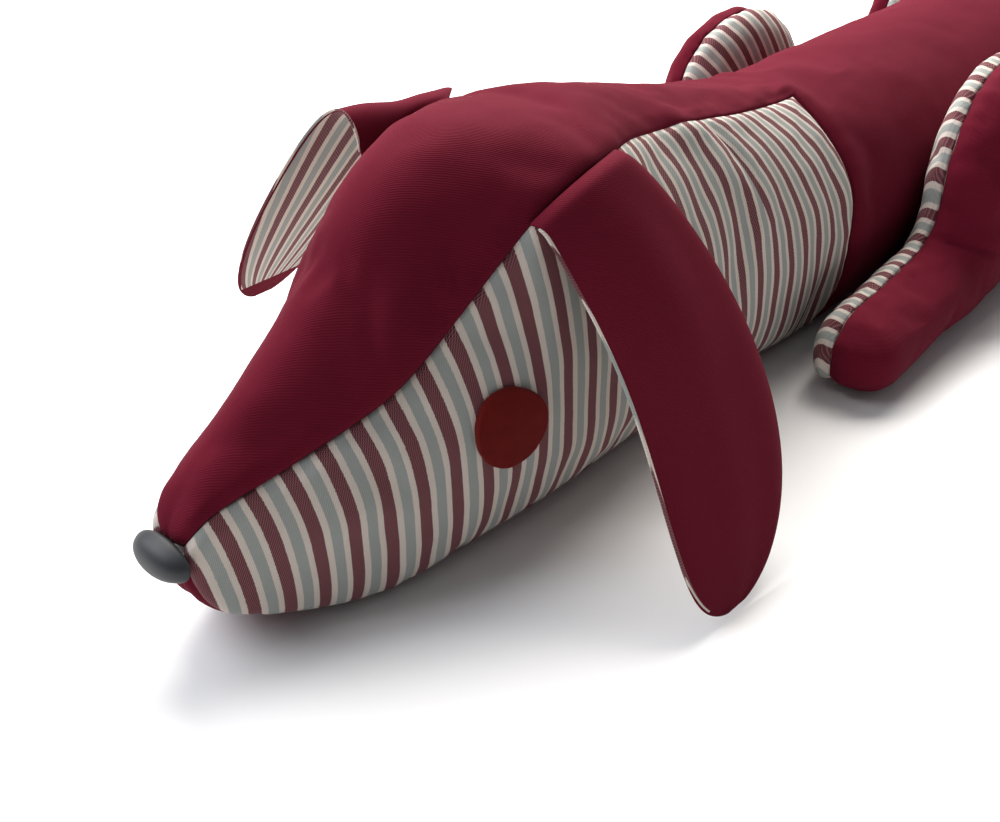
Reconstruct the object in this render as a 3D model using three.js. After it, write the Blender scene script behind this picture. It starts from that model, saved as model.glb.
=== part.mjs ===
// Dachshund draught excluder: a stuffed cloth dog that lies along the foot of a door.
// Millimetres. +Z is up, the nose points along -X and the dog's left side is -Y.
// Stations run from head to tail, and the tip of the nose is at noseStation.
import * as THREE from 'three';

// Sizes of the whole dog.
const noseStation = 5;
const overallLength = 900;      // nose tip to tail tip
const tailLength = 74;          // the part of it behind the rump
const rumpStation = noseStation + overallLength - tailLength;
const bodyHalfWidth = 64;       // the tube behind the neck
const bodyHeight = 129;
const neckEnd = 400;            // the body keeps one section from this station on
const ringStation = neckEnd - 12; // seam where the striped neck ends

// Cloth and seams.
const cloth = 1.6;              // a panel with its turned edge
const gap = 0.3;                // clearance between sewn neighbours
const half = gap / 2;

// Ears.
const earRoot = 190;            // station of the middle of the ear root
const earRootHalf = 26;
const earSwell = 24;            // how much wider the ear gets towards its tip
const earLayer = 1.7;
// seatOut and seatUp place the root clear of its seam. out and up say how the ear leaves it,
// from each point of the root, or from the middle of the root as level goes to 1 and beyond. fall
// is how it drops, reach and rest are where its tip comes to rest, and sway moves it back.
const leftEar = {
  seatOut: 2, seatUp: 1.1, out: 9, up: -12, level: 0, fallOut: 115, fallUp: 66, reach: 148, rest: 2.6, sway: 34,
};
const rightEar = {
  seatOut: -0.1, seatUp: 2.2, out: 3, up: 13, level: 2.8, fallOut: 76, fallUp: 154, reach: 139, rest: 48, sway: 32,
};

// Eyes and nose.
const eyeStation = 137.6;
const eyeHeight = bodyHeight * 0.4884;
const eyeRadius = 16.5;
const eyeThickness = 3;
const noseHalfWidth = 16;
const noseHalfHeight = 8.5;
const noseDepth = 9;
const noseHeight = bodyHeight * 0.34884;
const noseTilt = THREE.MathUtils.degToRad(6);

// Legs.
// A leg's thickness from its seam to the body, and from its seam outwards.
const leftLeg = { inner: 14, outer: 33 };
const rightLeg = { inner: 20, outer: 22 };
const legRounding = 24;         // how far in from the outline a leg reaches its thickness
const legSplay = 11;            // how much further out the paw lies than the haunch
const pawLength = 116;          // elbow to paw tip
const pawHeight = 44;
const haunchRadius = 65;
const haunchHeight = 62;
const pawRound = 30;            // the top of the paw rounds off over this length at either end
const ringToHaunch = 110;       // the front haunch's centre behind the neck's ring seam
const haunchToRump = 80;        // the hind haunch's centre in front of the rump
const frontHaunch = ringStation + ringToHaunch;
const hindHaunch = rumpStation - haunchToRump;

// Tail.
const tailRootRadius = 13;
const tailTipRadius = 7;
const tailRootHeight = bodyHeight * 0.4806;
const tailRise = 22;

const burgundy = new THREE.Color(0x7c2336);
const ticking = new THREE.Color(0xb9a9a6);
const wadding = new THREE.Color(0xf0eee8);
const darkRed = new THREE.Color(0x5e1016);
const slate = new THREE.Color(0x4a4d52);

// Cross sections down the dog, in hundredths of the neck's end (the station), of the body's
// half width (width and seamOut) and of its height (the rest). width and belt are the widest
// point and its height, seamOut and seamUp place the seam between the cheek and the top
// panel, crown is the top of the back and floor is the underside.
const sectionKeys = ['width', 'belt', 'seamOut', 'seamUp', 'crown', 'floor'];
const sections = [
  [3.9, 13.28, 33.33, 10.94, 38.37, 39.53, 29.07],
  [4.25, 19.53, 31.78, 16.41, 41.86, 43.8, 22.48],
  [5, 25, 30.62, 21.09, 44.81, 48.84, 16.67],
  [7, 31.25, 29.46, 24.22, 48.06, 55.81, 10.85],
  [10.5, 42.19, 29.46, 29.69, 51.16, 64.34, 6.2],
  [14, 53.91, 31.01, 35.94, 54.26, 72.87, 3.1],
  [17.5, 64.06, 32.56, 42.19, 57.75, 80.62, 0.93],
  [21, 71.88, 34.88, 48.44, 61.24, 89.15, 0],
  [24.5, 78.12, 37.98, 54.69, 65.5, 99.22, 0],
  [27.75, 82.81, 41.09, 59.38, 71.32, 110.85, 0],
  [31.5, 86.72, 44.96, 63.28, 79.84, 120.93, 0],
  [35.25, 90, 48.84, 67.19, 89.15, 126.74, 0],
  [38.5, 92.81, 51.16, 71.09, 97.67, 129.46, 0],
  [41.5, 95, 52.71, 75.78, 105.81, 130.62, 0],
  [47.5, 96.88, 54.26, 79.69, 113.57, 130.23, 0],
  [54, 95.31, 54.26, 74.22, 115.89, 127.91, 0],
  [60, 92.81, 52.71, 57.81, 113.18, 124.81, 0],
  [66, 92.19, 51.16, 46.88, 109.3, 120.16, 0],
  [75, 95.31, 50.39, 45.31, 105.81, 112.4, 0],
  [84.5, 98.44, 49.61, 44.53, 100.78, 105.43, 0],
  [93, 99.69, 49.61, 39.84, 96.9, 101.55, 0],
  [100, 100, 48.84, 37.5, 94.96, 100, 0],
].map(([station, width, belt, seamOut, seamUp, crown, floor]) => ({
  at: station * neckEnd / 100,
  width: width * bodyHalfWidth / 100,
  belt: belt * bodyHeight / 100,
  seamOut: seamOut * bodyHalfWidth / 100,
  seamUp: seamUp * bodyHeight / 100,
  crown: crown * bodyHeight / 100,
  floor: floor * bodyHeight / 100,
}));
const topFullness = 2.4;
const undersideRoundness = 3.6;
const undersidePress = 6;       // how far the filling is pressed flat by its own weight
const rumpRounding = 74;        // length over which the body closes
const rumpMiddle = bodyHeight * 0.4806;

// Smooth value between stations, with the slopes of a Catmull-Rom curve.
function sectionAt(station) {
  const last = sections.length - 1;
  const found = {};
  if (station >= sections[last].at) {
    for (const key of sectionKeys) found[key] = sections[last][key];
  } else {
    let i = 0;
    while (i < last - 1 && station > sections[i + 1].at) i += 1;
    const a = sections[Math.max(i - 1, 0)];
    const b = sections[i];
    const c = sections[i + 1];
    const d = sections[Math.min(i + 2, last)];
    const span = c.at - b.at;
    const t = (station - b.at) / span;
    for (const key of sectionKeys) {
      const m0 = (c[key] - a[key]) / (c.at - a.at) * span;
      const m1 = (d[key] - b[key]) / (d.at - b.at) * span;
      const t2 = t * t;
      const t3 = t2 * t;
      found[key] = (2 * t3 - 3 * t2 + 1) * b[key] + (t3 - 2 * t2 + t) * m0
        + (3 * t2 - 2 * t3) * c[key] + (t3 - t2) * m1;
    }
    found.floor = Math.max(found.floor, 0);
  }
  return found;
}

// The rounded rump closes the tube towards its middle.
function rumpScale(station) {
  const t = Math.max(0, (station - rumpStation + rumpRounding) / rumpRounding);
  return Math.sqrt(Math.max(0, 1 - t ** 2.4));
}

// A point of the skin, moved inwards by depth. around runs from -1 under the belly on the
// left, over the back at 0, to +1 under the belly on the right. |around| < topShare is the
// top panel, |around| > bellyShare is the belly panel, and the side panels lie between.
const topShare = 0.25;
const beltShare = 0.58;
const bellyShare = 0.814;
function skin(station, around, depth, seamDrop = 0) {
  const s = sectionAt(station);
  const side = Math.sign(around) || 1;
  const a = Math.abs(around);
  let y;
  let z;
  const seamOut = s.seamOut - depth;
  const seamUp = s.seamUp - depth - seamDrop;
  const width = s.width - depth;
  if (a <= topShare) {
    const v = a / topShare;
    y = seamOut * v;
    z = s.seamUp - depth + (s.crown - s.seamUp) * (1 - v ** topFullness);
  } else if (a <= beltShare) {
    const v = (a - topShare) / (beltShare - topShare);
    z = seamUp + (s.belt - seamUp) * v;
    y = width - (width - seamOut) * (1 - v) ** 2;
  } else {
    const angle = (a - beltShare) / (1 - beltShare) * Math.PI / 2;
    const power = 2 / undersideRoundness;
    y = width * Math.max(Math.cos(angle), 0) ** power;
    z = s.belt - (s.belt - s.floor + undersidePress - depth) * Math.sin(angle) ** power;
    z = Math.max(z, s.floor + depth);
  }
  const end = rumpScale(station);
  const room = end < 1 ? Math.max(end, 0) : 1;
  y *= room;
  z = rumpMiddle + (z - rumpMiddle) * room;
  return new THREE.Vector3(station, y * side, z);
}

// Half width of the cheek at one station and height.
function cheekOut(station, height) {
  const s = sectionAt(station);
  if (height > s.belt) {
    const v = (s.seamUp - height) / (s.seamUp - s.belt);
    return s.width - (s.width - s.seamOut) * (1 - v) ** 2;
  }
  const drop = (s.belt - height) / (s.belt - s.floor + undersidePress);
  return s.width * (1 - drop ** undersideRoundness) ** (1 / undersideRoundness);
}

// The ring seam leans forward a little towards the floor.
function ringAt(around) {
  const low = Math.max(0, (Math.abs(around) - topShare) / (1 - topShare));
  return ringStation - 3 + 8 * Math.sin(Math.PI * Math.min(low * 1.3, 1)) - 22 * low * low;
}

// Building closed solids from paired surfaces.
function weld(points) {
  const seen = new Map();
  return points.map((p, i) => {
    const key = [p.x, p.y, p.z].map((v) => Math.round(v * 1e4)).join('_');
    if (!seen.has(key)) seen.set(key, i);
    return seen.get(key);
  });
}

function trianglesOf(quads, same) {
  const out = [];
  for (const [a, b, c, d] of quads) {
    for (const tri of [[a, b, c], [a, c, d]]) {
      const t = tri.map((i) => same[i]);
      if (t[0] !== t[1] && t[1] !== t[2] && t[2] !== t[0]) out.push(t);
    }
  }
  return out;
}

function openEdges(triangles) {
  const used = new Set();
  for (const t of triangles) for (let k = 0; k < 3; k += 1) used.add(`${t[k]}_${t[(k + 1) % 3]}`);
  const edges = [];
  for (const t of triangles) {
    for (let k = 0; k < 3; k += 1) {
      const [p, q] = [t[k], t[(k + 1) % 3]];
      if (!used.has(`${q}_${p}`)) edges.push([p, q]);
    }
  }
  return edges;
}

function geometryOf(points, triangles) {
  const map = new Map();
  const position = [];
  const index = [];
  for (const t of triangles) {
    for (const i of t) {
      if (!map.has(i)) {
        map.set(i, map.size);
        position.push(points[i].x, points[i].y, points[i].z);
      }
      index.push(map.get(i));
    }
  }
  const geometry = new THREE.BufferGeometry();
  geometry.setAttribute('position', new THREE.Float32BufferAttribute(position, 3));
  let volume = 0;
  for (const [a, b, c] of triangles) {
    volume += points[a].dot(new THREE.Vector3().crossVectors(points[b], points[c])) / 6;
  }
  if (volume < 0) {
    for (let i = 0; i < index.length; i += 3) [index[i], index[i + 1]] = [index[i + 1], index[i]];
  }
  geometry.setIndex(index);
  geometry.computeVertexNormals();
  return geometry;
}

// A sheet with thickness: outer and inner points in pairs, joined round every free edge.
function sheetSolid(outer, inner, quads, extra = []) {
  const same = weld(outer);
  const count = outer.length;
  const triangles = trianglesOf(quads, same);
  for (const t of extra) triangles.push(t.map((i) => same[i]));
  const all = [];
  for (const t of triangles) {
    all.push(t);
    all.push([t[2] + count, t[1] + count, t[0] + count]);
  }
  for (const [p, q] of openEdges(triangles)) {
    all.push([q, p, p + count], [q, p + count, q + count]);
  }
  return geometryOf([...outer, ...inner], all);
}

// A filled form: one surface, with each remaining hole closed by a fan.
function filledSolid(points, quads, extra = []) {
  const same = weld(points);
  const triangles = trianglesOf(quads, same);
  for (const t of extra) triangles.push(t.map((i) => same[i]));
  const all = [...triangles];
  const edges = openEdges(triangles);
  const list = [...points];
  const next = new Map(edges);
  while (next.size) {
    const [start] = next.keys();
    const loop = [];
    let at = start;
    while (next.has(at)) {
      loop.push(at);
      const to = next.get(at);
      next.delete(at);
      at = to;
    }
    const middle = new THREE.Vector3();
    for (const i of loop) middle.addScaledVector(list[i], 1 / loop.length);
    const hub = list.push(middle) - 1;
    for (let k = 0; k < loop.length; k += 1) all.push([loop[(k + 1) % loop.length], loop[k], hub]);
  }
  return geometryOf(list, all);
}

const dog = new THREE.Group();
dog.position.x = -noseStation - overallLength / 2;

function add(name, geometry, colour, roughness) {
  const material = new THREE.MeshStandardMaterial({ color: colour, roughness, metalness: 0 });
  const mesh = new THREE.Mesh(geometry, material);
  mesh.name = name;
  dog.add(mesh);
  return mesh;
}

// Body: striped side panels, burgundy back and filling.
const columns = [];
const bellySteps = 3;
const underSteps = 4;
const flankSteps = 5;
const topSteps = 6;
function spread(from, to, steps) {
  for (let j = 1; j <= steps; j += 1) columns.push(from + (to - from) * j / steps);
}
columns.push(-1);
spread(-1, -bellyShare, bellySteps);
const firstSide = columns.length - 1;
spread(-bellyShare, -beltShare, underSteps);
spread(-beltShare, -topShare, flankSteps);
const firstTop = columns.length - 1;
spread(-topShare, 0, topSteps / 2);
const lastTop = columns.length - 1 + topSteps / 2;
columns.push(...columns.slice(0, -1).map((a) => -a).reverse());

const headSteps = 26;
const bodySteps = 9;
const rumpSteps = 7;
const headRows = [];
for (let i = 0; i <= headSteps; i += 1) headRows.push(i / headSteps);
const bodyRows = [];
for (let i = 1; i <= bodySteps; i += 1) bodyRows.push(i / bodySteps);

// Stations are closer together at the muzzle than along the neck.
function headStation(row, around) {
  const first = sections[0].at;
  return first + (ringAt(around) - first) * row ** 1.6;
}

function bodyStation(row, around, depth) {
  const start = ringAt(around);
  const tubeEnd = rumpStation - rumpRounding;
  if (row <= 1) return start + (tubeEnd - start) * row;
  const closing = Math.sin((row - 1) * Math.PI / 2);
  return tubeEnd + (rumpRounding - depth) * closing;
}

function backPoints(depth, edge) {
  const points = [];
  for (const row of headRows) {
    for (const around of columns) {
      const last = row === 1 && Math.abs(around) > topShare + 1e-6;
      const station = headStation(row, around) + (last ? edge : 0);
      points.push(skin(station, around, depth));
    }
  }
  for (const row of bodyRows) {
    for (const around of columns) points.push(skin(bodyStation(row, around, depth), around, depth));
  }
  for (let i = 1; i <= rumpSteps; i += 1) {
    for (const around of columns) {
      const station = bodyStation(1 + i / rumpSteps, around, depth);
      const p = skin(Math.min(station + depth, rumpStation), around, depth);
      p.x = station;
      points.push(p);
    }
  }
  return points;
}

function quadsBetween(rowFrom, rowTo, wanted) {
  const quads = [];
  const n = columns.length;
  for (let i = rowFrom; i < rowTo; i += 1) {
    for (let j = 0; j < n - 1; j += 1) {
      const quad = [i * n + j, i * n + j + 1, (i + 1) * n + j + 1, (i + 1) * n + j];
      if (j >= (n - 1) / 2) quad.push(quad.shift());
      if (wanted(i, j)) quads.push(quad);
    }
  }
  return quads;
}

const rowCount = headRows.length + bodyRows.length + rumpSteps;
const isTop = (j) => j >= firstTop && j < lastTop;
const backQuads = quadsBetween(0, rowCount - 1, (i, j) => i >= headSteps || isTop(j));
add('burgundy_back_panel', sheetSolid(backPoints(0, half), backPoints(cloth, half), backQuads), burgundy, 0.85);

// The clearance at the belly seam, as a share of the way round.
function seamShare(station) {
  const s = sectionAt(station);
  return half * (1 - beltShare) / (0.8 * (s.width + s.belt - s.floor));
}

// Rows of a panel that lies between the muzzle and the ring seam.
function headPanel(depth, run, side, seamSign, drop) {
  const points = [];
  for (const row of headRows) {
    run.forEach((around, j) => {
      const station = headStation(row, around) - (row === 1 ? half : 0);
      const onBellySeam = Math.abs(Math.abs(around) - bellyShare) < 1e-6;
      const shift = onBellySeam ? seamShare(station) * seamSign * Math.sign(around) : 0;
      const p = skin(station, around + shift, depth, drop);
      p.y *= side;
      points.push(p);
    });
  }
  return points;
}

function headQuads(width, turned) {
  const quads = [];
  for (let i = 0; i < headSteps; i += 1) {
    for (let j = 0; j < width - 1; j += 1) {
      const a = i * width + j;
      const quad = [a, a + 1, a + width + 1, a + width];
      if (turned(j)) quad.push(quad.shift());
      quads.push(quad);
    }
  }
  return quads;
}

// One striped panel covers a side of the face, the cheek and the neck.
const sideRun = columns.slice(firstSide, firstTop + 1);
for (const [name, side] of [['left', 1], ['right', -1]]) {
  const outer = headPanel(0, sideRun, side, -1, gap * 1.4);
  const inner = headPanel(cloth, sideRun, side, -1, gap * 1.4);
  add(`striped_side_panel_${name}`, sheetSolid(outer, inner, headQuads(sideRun.length, () => false)), ticking, 0.85);
}

// The belly panel runs under the chin and the neck, from belly seam to belly seam.
const bellyRun = columns.slice(0, firstSide + 1).reverse();
bellyRun.push(...columns.slice(-firstSide - 1, -1).reverse());
const bellyQuads = headQuads(bellyRun.length, (j) => j < firstSide);
const bellyOuter = headPanel(0, bellyRun, 1, 1, 0);
const bellyInner = headPanel(cloth, bellyRun, 1, 1, 0);
add('belly_panel', sheetSolid(bellyOuter, bellyInner, bellyQuads), burgundy, 0.85);

const core = cloth + gap;
const corePoints = backPoints(core, 0);
for (let j = 0; j < columns.length; j += 1) corePoints[j].x += gap * 2;
add('body_filling', filledSolid(corePoints, quadsBetween(0, rowCount - 1, () => true)), wadding, 0.95);

// Nose: one oval moulded dome.
{
  const profile = [new THREE.Vector2(0, 0)];
  const steps = 9;
  for (let i = 0; i <= steps; i += 1) {
    const angle = i / steps * Math.PI / 2;
    const edge = 0.94 + 0.06 * Math.min(1, i / 2);
    profile.push(new THREE.Vector2(i === steps ? 0 : Math.cos(angle) * edge, Math.sin(angle) ** 0.9));
  }
  const geometry = new THREE.LatheGeometry(profile, 28);
  geometry.scale(noseHalfHeight, noseDepth, noseHalfWidth);
  geometry.rotateZ(Math.PI / 2);
  geometry.rotateX(Math.PI / 2);
  geometry.rotateY(noseTilt);
  const nose = add('nose', geometry, slate, 0.4);
  nose.position.set(noseStation + noseDepth, 0, noseHeight);
}

// Eyes: thick discs that follow the cheek.
function eyeGeometry(side) {
  const rings = [0.45, 0.85, 1];
  const spokes = 24;
  const outer = [];
  const inner = [];
  const place = (ring, spoke, depth) => {
    const angle = spoke / spokes * 2 * Math.PI;
    const station = eyeStation + eyeRadius * ring * Math.cos(angle);
    const height = eyeHeight + eyeRadius * ring * Math.sin(angle);
    const round = depth > 1 && ring === 1 ? 0.7 : 0;
    return new THREE.Vector3(station - depth * 0.2, (cheekOut(station, height) + depth - round) * side, height);
  };
  const quads = [];
  rings.forEach((ring, i) => {
    for (let j = 0; j < spokes; j += 1) {
      outer.push(place(ring, j, gap + eyeThickness));
      inner.push(place(ring, j, gap * 1.3));
      const k = (j + 1) % spokes;
      if (i > 0) quads.push([(i - 1) * spokes + j, (i - 1) * spokes + k, i * spokes + k, i * spokes + j]);
    }
  });
  const hub = outer.push(place(0, 0, gap + eyeThickness)) - 1;
  inner.push(place(0, 0, gap * 1.3));
  const fan = [];
  for (let j = 0; j < spokes; j += 1) fan.push([hub, (j + 1) % spokes, j]);
  return sheetSolid(outer, inner, quads, fan);
}
add('eye_left', eyeGeometry(-1), darkRed, 0.9);
add('eye_right', eyeGeometry(1), darkRed, 0.9);

// Ears: an outer layer and a lining, hanging outwards from the top seam.
function earPoint(t, v, lift, ear, side) {
  const root = skin(earRoot + earRootHalf * v, topShare, 0);
  const from = root.clone().lerp(skin(earRoot, topShare, 0), ear.level);
  const drape = new THREE.CubicBezierCurve(
    new THREE.Vector2(root.y + ear.seatOut, root.z + ear.seatUp),
    new THREE.Vector2(from.y + ear.out, from.z + ear.up),
    new THREE.Vector2(ear.fallOut, ear.fallUp),
    new THREE.Vector2(ear.reach, ear.rest),
  );
  const at = drape.getPoint(t);
  const along = drape.getTangent(t);
  const middle = earRoot + ear.sway * t - 57 * t ** 3;
  const width = (earRootHalf + earSwell * t) * Math.sqrt(1 - t ** 6);
  const y = at.x - along.y * lift;
  const z = at.y + along.x * lift;
  return new THREE.Vector3(middle + width * v, y * side, z);
}

function earGeometry(low, high, ear, side) {
  const down = 14;
  const across = 6;
  const outer = [];
  const inner = [];
  const quads = [];
  for (let i = 0; i <= down; i += 1) {
    const t = Math.sin(i / down * 1.53) * 0.9995;
    for (let j = 0; j <= across; j += 1) {
      const v = j / across * 2 - 1;
      outer.push(earPoint(t, v, high, ear, side));
      inner.push(earPoint(t, v, low, ear, side));
      const a = i * (across + 1) + j;
      if (i < down && j < across) quads.push([a, a + 1, a + across + 2, a + across + 1]);
    }
  }
  return sheetSolid(outer, inner, quads);
}
for (const [name, side, ear] of [['left', -1, leftEar], ['right', 1, rightEar]]) {
  add(`ear_outer_${name}`, earGeometry(half, half + earLayer, ear, side), burgundy, 0.85);
  add(`ear_lining_${name}`, earGeometry(-half - earLayer, -half, ear, side), ticking, 0.85);
}

// Legs: two panels sewn round their outline over a filling.
const sole = -8;                // the outline reaches below the floor and is pressed flat
function legOutline(haunch) {
  const elbow = haunch - haunchRadius + 4;
  const tip = elbow - pawLength;
  const shape = new THREE.Shape();
  shape.moveTo(haunch + haunchRadius * 0.55, sole);
  shape.lineTo(tip + 20, sole);
  shape.bezierCurveTo(tip + 4, sole, tip, 6, tip, pawHeight * 0.5);
  shape.bezierCurveTo(tip, pawHeight * 0.85, tip + pawRound * 0.4, pawHeight, tip + pawRound, pawHeight);
  shape.quadraticCurveTo(elbow - pawRound, pawHeight, elbow, pawHeight + 6);
  shape.bezierCurveTo(elbow - 10, haunchHeight + 26, elbow + 16, haunchHeight + haunchRadius, haunch,
    haunchHeight + haunchRadius);
  shape.bezierCurveTo(haunch + haunchRadius * 0.62, haunchHeight + haunchRadius, haunch + haunchRadius,
    haunchHeight + haunchRadius * 0.5, haunch + haunchRadius, haunchHeight);
  shape.bezierCurveTo(haunch + haunchRadius, 24, haunch + haunchRadius * 0.85, sole,
    haunch + haunchRadius * 0.55, sole);
  return shape.getSpacedPoints(30).slice(0, 30);
}

function legSpine(haunch) {
  const elbow = haunch - haunchRadius + 4;
  return [
    new THREE.Vector2(elbow - pawLength + 24, pawHeight * 0.42),
    new THREE.Vector2(elbow + 2, pawHeight * 0.5),
    new THREE.Vector2(haunch - 8, haunchHeight - 2),
    new THREE.Vector2(haunch + 6, haunchHeight + 6),
  ];
}

function nearestOnSpine(spine, p) {
  let best = null;
  let nearest = Infinity;
  for (let i = 0; i < spine.length - 1; i += 1) {
    const run = spine[i + 1].clone().sub(spine[i]);
    const t = THREE.MathUtils.clamp(p.clone().sub(spine[i]).dot(run) / run.lengthSq(), 0, 1);
    const q = spine[i].clone().addScaledVector(run, t);
    if (q.distanceTo(p) < nearest) {
      nearest = q.distanceTo(p);
      best = q;
    }
  }
  return best;
}

// How far out the seam plane of a leg lies: the paw is splayed outwards.
function legSeam(haunch, station, inner) {
  const forward = THREE.MathUtils.clamp((haunch - station) / (haunchRadius + pawLength), 0, 1);
  return bodyHalfWidth + gap + inner + legSplay * forward;
}
const legRings = [0, 0.05, 0.17, 0.36, 0.62, 0.86];

// One face of a leg, moved inwards by depth. bulge is +1 away from the body, -1 towards it.
function legFace(haunch, depth, bulge, side, split) {
  const spine = legSpine(haunch);
  const outline = legOutline(haunch);
  const points = [];
  for (const ring of legRings) {
    for (const p of outline) {
      const q = nearestOnSpine(spine, p);
      const reach = q.distanceTo(p);
      const at = q.clone().sub(p).multiplyScalar((ring * (reach - depth) + depth) / reach).add(p);
      const x = Math.min(1, ring * reach / legRounding);
      const leg = side < 0 ? leftLeg : rightLeg;
      const thickness = bulge > 0 ? leg.outer : leg.inner;
      const swell = (thickness - depth) * Math.sqrt(1 - (1 - x) ** 2);
      const y = (legSeam(haunch, at.x, leg.inner) + bulge * (split + swell * (1 - split / thickness))) * side;
      points.push(new THREE.Vector3(at.x, y, Math.max(at.y, depth)));
    }
  }
  return points;
}

const around = 30;
function legQuads() {
  const quads = [];
  for (let i = 0; i < legRings.length - 1; i += 1) {
    for (let j = 0; j < around; j += 1) {
      const k = (j + 1) % around;
      quads.push([i * around + j, i * around + k, (i + 1) * around + k, (i + 1) * around + j]);
    }
  }
  return quads;
}

// The middle of a face is laced from the paw to the haunch between its two long edges.
function legCap(points) {
  const base = (legRings.length - 1) * around;
  const rim = points.slice(base, base + around);
  const step = (i, by) => (i + by + around) % around;
  let first = 0;
  for (let i = 1; i < around; i += 1) if (rim[i].x < rim[first].x) first = i;
  let last = first;
  for (let i = 0; i < around; i += 1) {
    if (rim[i].distanceTo(rim[first]) > rim[last].distanceTo(rim[first])) last = i;
  }
  const triangles = [];
  let a = first;
  let b = first;
  while (a !== last || b !== last) {
    const a2 = step(a, 1);
    const b2 = step(b, -1);
    const goA = b === last || (a !== last && rim[a2].distanceTo(rim[b]) <= rim[b2].distanceTo(rim[a]));
    if (goA) {
      triangles.push([a + base, a2 + base, b + base]);
      a = a2;
    } else {
      triangles.push([a + base, b2 + base, b + base]);
      b = b2;
    }
  }
  return triangles.filter((t) => new Set(t).size === 3);
}

function legPanel(haunch, bulge, side) {
  const outer = legFace(haunch, 0, bulge, side, half);
  const inner = legFace(haunch, cloth, bulge, side, half);
  return sheetSolid(outer, inner, legQuads(), legCap(outer));
}

function legFilling(haunch, side) {
  const away = legFace(haunch, core, 1, side, 0);
  const near = legFace(haunch, core, -1, side, 0);
  const count = away.length;
  const quads = legQuads();
  const cap = legCap(legFace(haunch, 0, 1, side, half));
  const flipped = legQuads().map(([a, b, c, d]) => [a + count, d + count, c + count, b + count]);
  const capNear = cap.map(([a, b, c]) => [c + count, b + count, a + count]);
  return filledSolid([...away, ...near], [...quads, ...flipped], [...cap, ...capNear]);
}

for (const [place, haunch] of [['front', frontHaunch], ['hind', hindHaunch]]) {
  for (const [name, side] of [['left', -1], ['right', 1]]) {
    add(`${place}_leg_outer_${name}`, legPanel(haunch, 1, side), burgundy, 0.85);
    add(`${place}_leg_inner_${name}`, legPanel(haunch, -1, side), ticking, 0.85);
    add(`${place}_leg_filling_${name}`, legFilling(haunch, side), wadding, 0.95);
  }
}

// Tail: a stuffed taper that rises a little behind the rump.
const tailStart = rumpStation + gap + 0.2;
const tailRun = noseStation + overallLength - tailStart;
function tailPoint(t, angle, depth) {
  const end = Math.sqrt(Math.max(0, 1 - Math.max(0, (t - 0.86) / 0.14) ** 2));
  const radius = (tailRootRadius + (tailTipRadius - tailRootRadius) * t - depth) * end;
  const x = tailStart + (tailRun - depth) * t;
  const z = tailRootHeight + tailRise * t * t;
  return new THREE.Vector3(x, radius * Math.sin(angle), z + radius * Math.cos(angle));
}

const tailRows = [0, 0.2, 0.4, 0.6, 0.76, 0.86, 0.93, 0.98, 1];
const tailSpokes = 16;
function tailPoints(depth, start) {
  const points = [];
  for (const t of tailRows) {
    for (let j = 0; j < tailSpokes; j += 1) {
      const p = tailPoint(t, j / tailSpokes * 2 * Math.PI, depth);
      if (t === 0) p.x += start;
      points.push(p);
    }
  }
  return points;
}
const tailQuads = [];
for (let i = 0; i < tailRows.length - 1; i += 1) {
  for (let j = 0; j < tailSpokes; j += 1) {
    const k = (j + 1) % tailSpokes;
    tailQuads.push([i * tailSpokes + j, i * tailSpokes + k, (i + 1) * tailSpokes + k, (i + 1) * tailSpokes + j]);
  }
}
add('tail_panel', sheetSolid(tailPoints(0, 0), tailPoints(cloth, 0), tailQuads), burgundy, 0.85);
add('tail_filling', filledSolid(tailPoints(core, 0), tailQuads), wadding, 0.95);

export default dog;
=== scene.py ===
# %% [markdown]
# # A dachshund draught excluder in cloth
# The dog is a long stuffed tube that lies along the foot of a door. The solid model
# already says where every panel is, so each panel is laid over that place in fine mesh,
# and then gets what makes it look like cloth: seams, puckers, a weave and soft dents.

# %% Load the solid model
import math

import bmesh
import bpy
import numpy as np
from mathutils import Matrix, Vector, noise
from mathutils.bvhtree import BVHTree


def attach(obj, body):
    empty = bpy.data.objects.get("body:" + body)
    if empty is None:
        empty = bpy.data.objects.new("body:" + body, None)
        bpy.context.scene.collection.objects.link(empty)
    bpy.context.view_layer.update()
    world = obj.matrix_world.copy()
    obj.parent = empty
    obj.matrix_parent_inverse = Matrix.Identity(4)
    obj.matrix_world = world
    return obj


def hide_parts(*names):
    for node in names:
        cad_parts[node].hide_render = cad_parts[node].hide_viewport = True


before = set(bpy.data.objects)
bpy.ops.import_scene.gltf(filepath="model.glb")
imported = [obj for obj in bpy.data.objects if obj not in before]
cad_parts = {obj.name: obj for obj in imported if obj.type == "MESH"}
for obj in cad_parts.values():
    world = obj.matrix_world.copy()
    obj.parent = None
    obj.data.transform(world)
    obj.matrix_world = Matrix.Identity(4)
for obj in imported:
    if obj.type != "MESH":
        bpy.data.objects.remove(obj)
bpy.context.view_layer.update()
scene = bpy.context.scene
MM = 0.001

# %% [markdown]
# ## The camera
# The stripes of the cloth are a ruler, and they place the camera: it looks down at about
# 32 degrees from in front of the dog's left side, a little under half a metre from the nose.

# %% Camera
LENS_PIXELS, PHOTO_WIDTH, SENSOR_WIDTH = 1250.0, 1000.0, 36.0
CAMERA_AT = Vector((-0.6098, -0.3409, 0.3288))
yaw, pitch, roll = 0.79264, 0.56557, -0.04559
forward = Vector((math.sin(yaw) * math.cos(pitch), math.cos(yaw) * math.cos(pitch),
                  -math.sin(pitch)))
level = Vector((math.cos(yaw), -math.sin(yaw), 0.0))
upright = level.cross(forward)
right = level * math.cos(roll) + upright * math.sin(roll)
up = upright * math.cos(roll) - level * math.sin(roll)

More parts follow.
